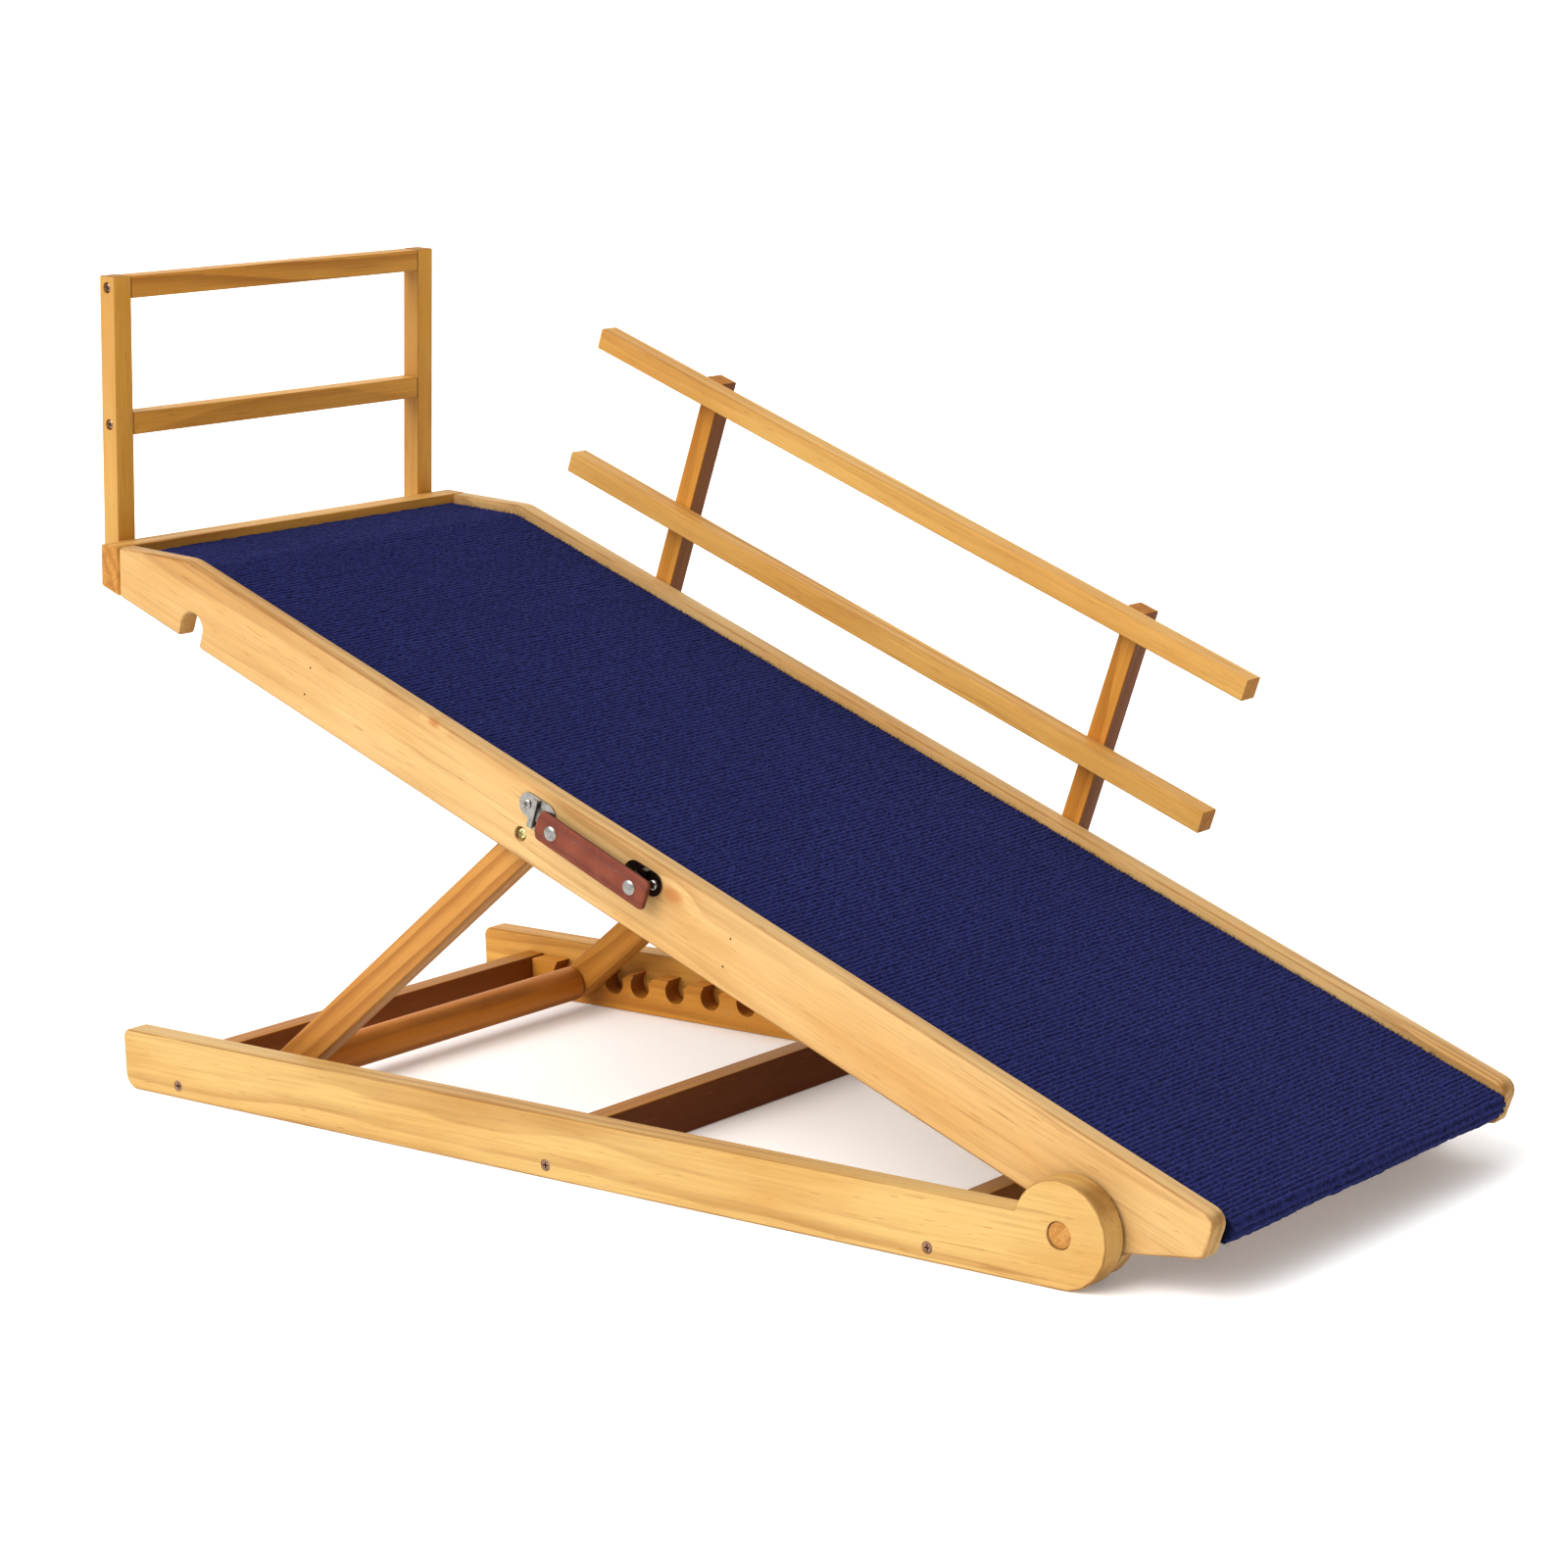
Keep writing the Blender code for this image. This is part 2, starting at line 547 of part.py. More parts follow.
# ---------------------------------------------------------------- side guard
post_in = RAIL_OUT + GAP
post_out = post_in + STOCK
rail_levels = ((SIDE_TOP_V, "Top"), (SIDE_LOW_V, "Low"))
for u, tag in zip(SIDE_POSTS_U, ("Upper", "Lower")):
    outline = box_outline(u - STOCK / 2, u + STOCK / 2, SIDE_POST_FOOT_V, SIDE_TOP_V + STOCK)
    post = slab("Side_Post_" + tag, uv(outline), post_in, post_out,
                material("Pine_Side_Post_" + tag, PINE, 0.45), RAMP, edge=0.001)
    levels = [(v + STOCK / 2, 0.019, "Rail_" + word) for v, word in rail_levels]
    levels += [(v, 0.022, "Foot_" + word) for v, word in zip(POST_SCREW_V, ("Low", "High"))]
    drill(post, [((-u, post_out + 0.001, v), (0, -1, 0), bore(0.0021, 0, 0.022)) for v, _, _ in levels])
    for v, length, word in levels:
        reach = length + 0.006 if word.startswith("Rail") else length + 0.003
        screw("Side_Screw_%s_%s" % (word, tag), bronze, RAMP, (-u, post_out + GAP, v), (0, -1, 0),
              0.0036, 0.0016, 0.0016, reach)

for v, word in rail_levels:
    rail = slab("Side_Rail_" + word, uv(box_outline(SIDE_RAIL_U[0], SIDE_RAIL_U[1], v, v + STOCK)),
                RAIL_OUT - STOCK, RAIL_OUT, material("Pine_Side_Rail_" + word, PINE, 0.42), RAMP, edge=0.001)
    drill(rail, [((-u, RAIL_OUT + 0.001, v + STOCK / 2), (0, -1, 0), bore(0.0021, 0, 0.0115))
                 for u in SIDE_POSTS_U])

# ---------------------------------------------------------------- carry handle
nickel = material("Nickel", NICKEL, 0.25, 1.0)
face = -RAIL_OUT
plate_out = face - GAP - PLATE_T
bridge_in = plate_out - SLOT_H
bridge_out = bridge_in - PLATE_T


def bracket_outline(u, v, way):
    """A plate, wide at the bridge, that steps up below to its round end; way is +1 with the screw upslope."""
    top, low = BRACKET_W / 2, -BRACKET_W / 2
    step, turn = top - 2 * BRACKET_ROUND, BRACKET_ROUND - 0.0002
    corners = [(-BRACKET_INNER, low, 0.0085), (0.0024, low, 0.0010), (0.0050, step, 0.0020),
               (BRACKET_OUTER, step, turn), (BRACKET_OUTER, top, turn), (-BRACKET_INNER, top, 0.0085)]
    return filleted([(u + way * s, v + w, r) for s, w, r in corners], 6)


screw_v = HANDLE_V + BRACKET_W / 2 - BRACKET_ROUND
for u, tag in zip(BRACKET_U, ("Upper", "Lower")):
    way = 1 if tag == "Upper" else -1
    bracket = slab("Handle_Bracket_" + tag, uv(bracket_outline(u, HANDLE_V, way)),
                   plate_out, face - GAP, nickel, RAMP)
    low, high = HANDLE_V - BRIDGE_W / 2, HANDLE_V + BRIDGE_W / 2
    leg = 0.0012
    staple = [(plate_out + 0.0005, low), (bridge_out, low), (bridge_out, high), (plate_out + 0.0005, high),
              (plate_out + 0.0005, high - leg), (bridge_in, high - leg), (bridge_in, low + leg),
              (plate_out + 0.0005, low + leg)]
    bridge = bmesh.new()
    prism_into(bridge, staple, -u - BRIDGE_L / 2, -u + BRIDGE_L / 2, "X")
    combine(bracket, bridge, "UNION", "Handle_Bridge_" + tag)
    side_u = u + way * BRACKET_SCREW
    drill(bracket, [((-side_u, plate_out - 0.001, screw_v), (0, 1, 0), bore(0.0020, 0, 0.004))])
    drill(bpy.data.objects["Ramp_Rail_Near"],
          [((-side_u, face - 0.001, screw_v), (0, 1, 0), bore(0.0020, 0, 0.0105))], "Handle_Bore_" + tag)
    screw("Handle_Screw_" + tag, nickel, RAMP, (-side_u, plate_out - 0.0002, screw_v), (0, 1, 0),
          0.0034, 0.0012, 0.0016, 0.0100)

strap_in = bridge_out - GAP - STRAP_STANDOFF
strap_out = strap_in - STRAP_T
half_l, half_w = (STRAP_U[1] - STRAP_U[0]) / 2, STRAP_W / 2
strap = slab("Handle_Strap", filleted([(-half_l, -half_w, 0.0045), (half_l, -half_w, 0.0045),
                                       (half_l, half_w, 0.0045), (-half_l, half_w, 0.0045)], 4),
             strap_out, strap_in, material("Leather_Brown", LEATHER, 0.5), STRAP, edge=0.0012)

# The steel strip runs under both bridges and cranks out to the strap's back between them.
in_slot, on_strap = plate_out - 0.0004, strap_in + GAP + STRIP_T
levels = (in_slot, in_slot, on_strap, on_strap, in_slot, in_slot)
line = [(STRAP_MID - u, y) for u, y in zip(STRIP_U, levels)]
bm = bmesh.new()
prism_into(bm, line + [(x, y - STRIP_T) for x, y in reversed(line)], -STRIP_W / 2, STRIP_W / 2, "Z")
finish("Handle_Strip", bm, nickel, STRAP)

rivets = (STRAP_U[0] + 0.0145, STRAP_U[1] - 0.0140)
drill(strap, [((STRAP_MID - u, strap_out - 0.001, 0), (0, 1, 0), bore(0.0023, 0, 0.0036)) for u in rivets])
for u, tag in zip(rivets, ("Lower", "Upper")):
    bm = bmesh.new()
    lathe_into(bm, [(0, -0.0015), (0.0030, -0.0013), (0.0048, -0.0007), (0.0052, 0), (0.0020, 0),
                    (0.0020, 0.0022), (0, 0.0022)], (STRAP_MID - u, strap_out - 0.0002, 0), (0, 1, 0), 20)
    finish("Handle_Rivet_" + tag, bm, nickel, STRAP)
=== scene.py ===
"""Looks of the folding pine pet ramp: varnished pine, ribbed navy carpet, leather strap, nickel brackets."""

import json
import math
import random

import bmesh
import bpy
import numpy as np
from mathutils import Matrix, Vector, noise

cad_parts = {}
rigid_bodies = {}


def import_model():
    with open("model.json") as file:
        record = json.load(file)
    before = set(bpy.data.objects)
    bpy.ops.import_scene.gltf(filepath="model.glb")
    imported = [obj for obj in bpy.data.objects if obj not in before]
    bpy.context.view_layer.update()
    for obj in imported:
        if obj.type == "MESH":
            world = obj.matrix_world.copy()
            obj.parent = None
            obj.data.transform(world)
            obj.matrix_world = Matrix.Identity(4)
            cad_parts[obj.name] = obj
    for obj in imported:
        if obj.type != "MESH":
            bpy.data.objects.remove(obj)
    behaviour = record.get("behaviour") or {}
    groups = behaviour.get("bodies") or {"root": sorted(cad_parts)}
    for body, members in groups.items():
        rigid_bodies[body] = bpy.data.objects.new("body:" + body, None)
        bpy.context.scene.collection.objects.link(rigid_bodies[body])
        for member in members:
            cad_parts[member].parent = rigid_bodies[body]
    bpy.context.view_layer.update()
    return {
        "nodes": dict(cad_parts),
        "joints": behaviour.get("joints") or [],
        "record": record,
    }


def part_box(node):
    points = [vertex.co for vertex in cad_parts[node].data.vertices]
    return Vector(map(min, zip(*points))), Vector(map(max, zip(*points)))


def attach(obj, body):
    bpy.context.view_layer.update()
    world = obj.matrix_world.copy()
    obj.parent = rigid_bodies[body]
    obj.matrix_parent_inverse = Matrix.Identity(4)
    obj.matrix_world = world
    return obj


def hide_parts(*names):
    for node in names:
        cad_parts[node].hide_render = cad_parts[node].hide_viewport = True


for old in list(bpy.data.objects):
    bpy.data.objects.remove(old, do_unlink=True)

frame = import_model()
nodes = frame["nodes"]
record = frame["record"]
joints = {joint["name"]: joint for joint in frame["joints"]}
mounts = {mount["name"]: mount for mount in record["mounts"]}


# ---------------------------------------------------------------- directions and places from the frame
def middle(node):
    low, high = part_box(node)
    return (low + high) / 2


X, Y, Z = Vector((1, 0, 0)), Vector((0, 1, 0)), Vector((0, 0, 1))
PIVOT = Vector(joints["ramp_hinge"]["pos_m"])
UP_SLOPE = Vector(joints["strap_slide"]["axis"]).normalized()
OFF_DECK = Vector(mounts["walking_face"]["axis"]).normalized()
OFF_PLATFORM = Vector(mounts["platform_face"]["axis"]).normalized()
PROP_PIVOT = Vector(joints["prop_hinge"]["pos_m"])
ALONG_STRUT = (middle("Prop_Bar") - PROP_PIVOT).normalized()
ACROSS_STRUT = ALONG_STRUT.cross(Y).normalized()


def on_ramp(u, v, y):
    """A point u up the slope from the pivot, v square to the deck, y across."""
    return PIVOT + UP_SLOPE * u + OFF_DECK * v + Y * y


def ramp_uv(point):
    """How far a point is up the slope from the pivot, and how far square to the deck."""
    reach = Vector(point) - PIVOT
    return reach.dot(UP_SLOPE), reach.dot(OFF_DECK)


# ---------------------------------------------------------------- material graph helper
class Graph:
    """A material's node tree, written as expressions."""

    def __init__(self, name):
        self.material = bpy.data.materials.new(name)
        self.material.use_nodes = True
        self.tree = self.material.node_tree
        self.shader = self.tree.nodes["Principled BSDF"]
        self.coords = self.add("ShaderNodeTexCoord")

    def add(self, kind, **settings):
        made = self.tree.nodes.new(kind)
        for key, value in settings.items():
            setattr(made, key, value)
        return made

    def feed(self, socket, value):
        if isinstance(value, bpy.types.NodeSocket):
            self.tree.links.new(value, socket)
        elif socket.type == "RGBA" and len(value) == 3:
            socket.default_value = (*value, 1.0)
        else:
            socket.default_value = value

    def math(self, operation, *values):
        made = self.add("ShaderNodeMath", operation=operation)
        for socket, value in zip(made.inputs, values):
            self.feed(socket, value)
        return made.outputs[0]

    def dot(self, a, b):
        made = self.add("ShaderNodeVectorMath", operation="DOT_PRODUCT")
        self.feed(made.inputs[0], a)
        self.feed(made.inputs[1], tuple(b))
        return made.outputs["Value"]

    def vector(self, x, y, z):
        made = self.add("ShaderNodeCombineXYZ")
        for socket, value in zip(made.inputs, (x, y, z)):
            self.feed(socket, value)
        return made.outputs[0]

    def stretch(self, vector, scale, shift=(0, 0, 0)):
        made = self.add("ShaderNodeVectorMath", operation="MULTIPLY_ADD")
        self.feed(made.inputs[0], vector)
        self.feed(made.inputs[1], scale)
        self.feed(made.inputs[2], shift)
        return made.outputs[0]

    def noise(self, vector, detail=2.0, roughness=0.5, distortion=0.0):
        made = self.add("ShaderNodeTexNoise")
        self.feed(made.inputs["Vector"], vector)
        made.inputs["Scale"].default_value = 1.0
        made.inputs["Detail"].default_value = detail
        made.inputs["Roughness"].default_value = roughness
        made.inputs["Distortion"].default_value = distortion
        return made.outputs["Fac"]

    def smooth(self, value, low, high, first=0.0, last=1.0):
        """Goes smoothly from first to last as the value goes from low to high."""
        made = self.add("ShaderNodeMapRange", interpolation_type="SMOOTHSTEP")
        self.feed(made.inputs["Value"], value)
        for name, number in (("From Min", low), ("From Max", high), ("To Min", first), ("To Max", last)):
            self.feed(made.inputs[name], number)
        return made.outputs["Result"]

    def swing(self, value, reach, base):
        """base, moved by reach times what the value is over a half."""
        return self.math("MULTIPLY_ADD", self.math("SUBTRACT", value, 0.5), reach, base)

    def length(self, a, b):
        return self.math("SQRT", self.math("ADD", self.math("POWER", a, 2.0), self.math("POWER", b, 2.0)))

    def mix(self, factor, a, b, blend="MIX"):
        made = self.add("ShaderNodeMix", data_type="RGBA", blend_type=blend)
        colours = [s for s in made.inputs if s.type == "RGBA"]
        self.feed(made.inputs["Factor"], factor)
        self.feed(colours[0], a)
        self.feed(colours[1], b)
        return next(s for s in made.outputs if s.type == "RGBA")

    def tint(self, colour, by):
        """The colour multiplied by another."""
        return self.mix(1.0, colour, by, "MULTIPLY")

    def bump(self, height, distance, strength):
        made = self.add("ShaderNodeBump")
        made.inputs["Strength"].default_value = strength
        made.inputs["Distance"].default_value = distance
        self.feed(made.inputs["Height"], height)
        return made.outputs["Normal"]

    def set(self, **values):
        """Sets or links the shader's own inputs; an underscore stands for a space."""
        for name, value in values.items():
            self.feed(self.shader.inputs[name.replace("_", " ")], value)


# ---------------------------------------------------------------- wood
PINE_LATE = (0.300, 0.105, 0.018)
PINE_STREAK = (0.210, 0.066, 0.010)
PINE_ARRIS = (0.200, 0.075, 0.013)
PINE_KNOT = (0.360, 0.100, 0.014)
CLOUD_TINT = (0.88, 0.76, 0.60)         # these three darken a piece's own tone
LATE_TINT = (0.56, 0.40, 0.26)
END_TINT = (0.78, 0.66, 0.52)
RING_PITCH = 0.0085
HEART_BESIDE = (0.010, 0.045)           # how far the tree's axis runs beside the piece, and behind it
HEART_BEHIND = (0.035, 0.080)
LEAN = 0.035                            # the steepest slope of the grain along the piece
RING_WAVES = (((2.1, 9, 9), 0.034), ((9, 60, 60), 0.0030))      # how the rings wander: noise scale, reach
KNOT_PUSH = 0.006                       # the rings bulge this far round a knot
PINE_ROUGHNESS = 0.52


class Board:
    """One piece of pine: its grain directions, its place in the tree and its own seeded noise."""

    def __init__(self, g, name, along, across, seed):
        draw = random.Random(seed)
        self.g = g
        self.axes = (along, across, along.cross(across).normalized())
        self.runs = [g.dot(g.coords.outputs["Object"], axis) for axis in self.axes]
        self.grain = g.vector(*self.runs)
        self.shift = tuple(draw.uniform(-3, 3) for _ in range(3))
        self.beside = draw.choice((-1, 1)) * draw.uniform(*HEART_BESIDE)
        self.behind = draw.choice((-1, 1)) * draw.uniform(*HEART_BEHIND)
        self.lean = draw.uniform(-LEAN, LEAN)
        self.centre = [middle(name).dot(axis) for axis in self.axes]

    def noise(self, scale, detail=2.0, roughness=0.5, other=False):
        """Noise drawn out along the grain; other gives a second, unlike pattern."""
        shift = self.shift[::-1] if other else self.shift
        return self.g.noise(self.g.stretch(self.grain, scale, shift), detail, roughness)


def ring_radius(g, board, knots):
    """The distance from the tree's axis, wandering and pushed out round the knots, and the knots' mask."""
    along, across, _ = board.axes
    run = g.math("SUBTRACT", board.runs[0], board.centre[0])
    level = g.math("SUBTRACT", board.runs[1], board.centre[1] + board.beside)
    beside = g.math("MULTIPLY_ADD", run, board.lean, level)
    behind = g.math("SUBTRACT", board.runs[2], board.centre[2] + board.behind)
    radius = g.length(beside, behind)
    for scale, reach in RING_WAVES:
        radius = g.swing(board.noise(scale), reach, radius)
    knot_mask = 0.0
    for spot, wide, high in knots:
        near_along = g.math("DIVIDE", g.math("SUBTRACT", board.runs[0], spot.dot(along)), wide)
        near_across = g.math("DIVIDE", g.math("SUBTRACT", board.runs[1], spot.dot(across)), high)
        away = g.length(near_along, near_across)
        radius = g.math("MULTIPLY_ADD", g.smooth(away, 0.0, 3.0, 1.0, 0.0), KNOT_PUSH, radius)
        knot_mask = g.math("MAXIMUM", knot_mask, g.smooth(away, 0.35, 1.25, 1.0, 0.0))
    return radius, knot_mask


def side_grain(g, board, pale, ring, fibre, hair, pore):
    """Colour of the long faces: cloudy patches, late wood in each ring, fibres, pores and resin streaks."""
    late = g.math("MULTIPLY", g.smooth(ring, 0.25, 0.92), g.smooth(ring, 0.93, 1.0, 1.0, 0.0))
    patchy = g.smooth(board.noise((2.6, 22, 22), other=True), 0.38, 0.68, 0.06, 1.0)
    late = g.math("MULTIPLY", g.math("MULTIPLY", late, patchy), 0.62)
    resin = g.smooth(board.noise((5, 26, 26), 3.0, 0.55), 0.40, 0.66, 0.15, 1.0)
    streak = g.smooth(board.noise((11, 300, 300), 2.0, 0.55, other=True), 0.56, 0.72)
    streak = g.math("MULTIPLY", streak, resin)
    cloud = board.noise((4.5, 15, 15), 3.0, 0.55, other=True)
    colour = g.mix(g.smooth(cloud, 0.34, 0.74), pale, g.tint(pale, CLOUD_TINT))
    colour = g.mix(late, colour, g.tint(pale, LATE_TINT))
    shade = g.swing(hair, 0.22, g.swing(fibre, 0.34, 1.0))
    colour = g.tint(colour, g.vector(shade, shade, shade))
    colour = g.mix(g.math("MULTIPLY", pore, 0.45), colour, PINE_LATE)
    return g.mix(g.math("MULTIPLY", streak, 0.34), colour, PINE_STREAK)


def end_grain(g, board, pale, ring):
    """Colour of the cut ends: browner, with the rings' arcs, patches of varnish and open cells."""
    patches = board.noise((60, 160, 160), 3.0, 0.6, other=True)
    dots = board.noise((60, 700, 700), 2.0, 0.7)
    colour = g.mix(g.smooth(ring, 0.35, 0.95, 0.0, 0.35), g.tint(pale, END_TINT), PINE_LATE)
    colour = g.mix(g.smooth(patches, 0.42, 0.62, 0.0, 0.55), colour, PINE_LATE)
    return g.mix(g.smooth(dots, 0.42, 0.68, 0.0, 0.50), colour, PINE_STREAK)


def pine(name, along, across, seed, tone, face_light_and_shade, end_share, knots=()):
    """Varnished pine: growth rings round a tree's axis beside the piece, fibres, streaks, arrises, end grain.

    along is the grain's direction, and across a direction square to it. tone is the wood's palest colour,
    with painted shade in it for the pieces that lie in shade, and the tone after it is the colour on the
    faces that look up or down the ramp, painted light and shade. end_share, 0 to 1, says how brown the end
    grain is. knots holds (centre, width along the grain, width across it)."""
    g = Graph(name)
    board = Board(g, name, along, across, seed)
    normal = g.coords.outputs["Normal"]
    radius, knot_mask = ring_radius(g, board, knots)
    ring = g.math("FRACT", g.math("DIVIDE", radius, RING_PITCH))
    fibre = board.noise((9, 420, 420), 3.0, 0.6)
    hair = board.noise((32, 1500, 1500), 2.0, 0.6)
    pore = g.smooth(board.noise((60, 800, 800), 1.0, other=True), 0.68, 0.78)
    # painted light and shade: the faces that look up or down the ramp take a tone of their own, darker where
    # they lie in shade and lighter on some pieces
    face_shading_mask = g.smooth(g.math("ABSOLUTE", g.dot(normal, X)), 0.50, 0.90)
    pale = g.mix(face_shading_mask, tone, face_light_and_shade)
    colour = side_grain(g, board, pale, ring, fibre, hair, pore)
    if knots:
        colour = g.mix(g.math("MULTIPLY", knot_mask, 0.50), colour, PINE_KNOT)
    faces = [g.math("ABSOLUTE", g.dot(normal, axis)) for axis in board.axes]
    squarest = g.math("MAXIMUM", g.math("MAXIMUM", faces[0], faces[1]), faces[2])
    # darker along the arrises, in patches
    arris = g.smooth(squarest, 0.80, 0.985, 1.0, 0.0)
    arris_patches = g.smooth(board.noise((18, 40, 40), other=True), 0.30, 0.60, 0.25, 0.60)
    colour = g.mix(g.math("MULTIPLY", arris, arris_patches), colour, PINE_ARRIS)
    end = g.smooth(faces[0], 0.62, 0.92)
    colour = g.mix(g.math("MULTIPLY", end, end_share), colour, end_grain(g, board, pale, ring))
    rough = g.math("MULTIPLY_ADD", g.math("MAXIMUM", end, arris), 0.16, g.swing(fibre, 0.20, PINE_ROUGHNESS))
    relief = g.math("ADD", g.math("MULTIPLY", fibre, 0.6), g.math("MULTIPLY", hair, 0.4))
    relief = g.math("SUBTRACT", relief, g.math("MULTIPLY", pore, 0.8))
    g.set(Base_Color=colour, Roughness=rough, Normal=g.bump(relief, 0.00020, 0.5))
    g.set(Coat_Weight=0.05, Coat_Roughness=0.35, Specular_IOR_Level=0.16)
    return g.material


PLY_PALE = (0.56, 0.40, 0.23)
PLY_DARK = (0.44, 0.28, 0.14)
PLY_GLUE = (0.28, 0.16, 0.07)
PLY_LAYER = 0.003


def plywood(name, along, across):
    """Bare plywood: a soft figure on its faces, and its layers on its edges."""
    g = Graph(name)
    place = g.coords.outputs["Object"]
    third = along.cross(across).normalized()
    grain = g.vector(g.dot(place, along), g.dot(place, across), g.dot(place, third))
    figure = g.noise(g.stretch(grain, (4, 60, 60)), 4.0, 0.6, 0.6)
    fibre = g.noise(g.stretch(grain, (20, 800, 800)), 2.0)
    layer = g.smooth(g.math("FRACT", g.math("DIVIDE", g.dot(place, third), PLY_LAYER)), 0.40, 0.60)
    edge = g.smooth(g.math("ABSOLUTE", g.dot(g.coords.outputs["Normal"], third)), 0.2, 0.6, 1.0, 0.0)
    colour = g.mix(g.smooth(figure, 0.35, 0.65), PLY_PALE, PLY_DARK)
    colour = g.mix(g.math("MULTIPLY", edge, g.math("MULTIPLY", layer, 0.6)), colour, PLY_GLUE)
    g.set(Base_Color=colour, Roughness=0.7, Normal=g.bump(fibre, 0.0002, 0.6))
    return g.material


# ---------------------------------------------------------------- metal, leather, carpet
BRUSHING = (900.0, 3600.0, 900.0)       # noise scales of the fine brushing and of the tarnish
TARNISH = (240, 240, 240)


def metal(name, colour, roughness, tarnish):
    """Plated steel with faint brushing and dull patches."""
    g = Graph(name)
    place = g.coords.outputs["Object"]
    brushing = g.noise(g.stretch(place, BRUSHING), 3.0, 0.6)
    patch = g.smooth(g.noise(g.stretch(place, TARNISH), 3.0, 0.6), 0.42, 0.70)
    shade = g.mix(g.math("MULTIPLY", patch, tarnish), colour, tuple(c * 0.45 for c in colour))
    rough = g.math("MULTIPLY_ADD", brushing, 0.16, roughness)
    g.set(Base_Color=shade, Metallic=1.0, Roughness=rough, Normal=g.bump(brushing, 0.00002, 0.5))
    return g.material


LEATHER_PALE = (0.203, 0.046, 0.020)
LEATHER_DARK = (0.160, 0.034, 0.014)
LEATHER_CREASE = (0.085, 0.016, 0.008)
# edge paint, also used for painted shade along the folds
LEATHER_EDGE_AND_FOLD_SHADE = (0.100, 0.020, 0.010)
# painted highlight for the raised band over the strip
LEATHER_CROWN_HIGHLIGHT = (0.270, 0.069, 0.033)
STRIP_FOLD = 0.0060             # the leather folds over the strip's edges this far from its middle


def leather(name, centre, aside):
    """Smooth reddish-brown strap leather, darker along its painted edges, with painted shade where it folds
    over the strip's edges and a painted highlight along the raised band over the strip.

    centre is the strap's middle and aside the direction across its face."""
    g = Graph(name)
    place = g.coords.outputs["Object"]
    cells = g.add("ShaderNodeTexVoronoi", feature="DISTANCE_TO_EDGE")
    g.feed(cells.inputs["Vector"], g.stretch(place, (1100, 1100, 1100)))
    cells.inputs["Scale"].default_value = 1.0
    crease = g.smooth(cells.outputs["Distance"], 0.0, 0.16)
    cloud = g.noise(g.stretch(place, (55, 55, 55)), 3.0, 0.6)
    fine = g.noise(g.stretch(place, (1500, 1500, 1500)), 2.0)
    colour = g.mix(g.smooth(cloud, 0.32, 0.70), LEATHER_PALE, LEATHER_DARK)
    colour = g.mix(g.math("MULTIPLY", g.math("SUBTRACT", 1.0, crease), 0.22), colour, LEATHER_CREASE)
    side = g.math("ABSOLUTE", g.dot(g.coords.outputs["Normal"], Y))
    colour = g.mix(g.smooth(side, 0.25, 0.75, 0.55, 0.0), colour, LEATHER_EDGE_AND_FOLD_SHADE)
    off_middle = g.math("ABSOLUTE", g.math("SUBTRACT", g.dot(place, aside), centre.dot(aside)))
    # painted shade along the folds over the strip's edges
    inner = g.smooth(off_middle, STRIP_FOLD - 0.0009, STRIP_FOLD)
    outer = g.smooth(off_middle, STRIP_FOLD, STRIP_FOLD + 0.0012, 1.0, 0.0)
    fold_shade = g.math("MULTIPLY", inner, outer)
    colour = g.mix(g.math("MULTIPLY", fold_shade, 0.55), colour, LEATHER_EDGE_AND_FOLD_SHADE)
    # painted highlight on the raised band over the strip
    colour = g.mix(g.smooth(off_middle, 0.0, STRIP_FOLD, 0.30, 0.0), colour, LEATHER_CROWN_HIGHLIGHT)
    relief = g.math("MULTIPLY_ADD", fine, 0.35, crease)
    rough = g.smooth(cloud, 0.3, 0.7, 0.44, 0.58)
    g.set(Base_Color=colour, Roughness=rough, Normal=g.bump(relief, 0.00006, 0.7))
    g.set(Sheen_Weight=0.04, Sheen_Roughness=0.4, Specular_IOR_Level=0.30)
    return g.material


# the furrow colour is painted shade between the ribs
NAVY_FURROW_SHADE = (0.0055, 0.0070, 0.0450)
NAVY_CREST = (0.0155, 0.0195, 0.1130)
NAVY_TUFT = (0.0310, 0.0370, 0.1850)
NAVY_GAP = (0.0028, 0.0038, 0.0280)
NAVY_FLECK = (0.160, 0.185, 0.420)
NAVY_CLOUD = (0.0080, 0.0110, 0.0630)
# painted shade along the carpet's cut edges, in the gap against the rails
NAVY_EDGE_SHADE = (0.0016, 0.0018, 0.0080)
RIB_PITCH = 0.0037


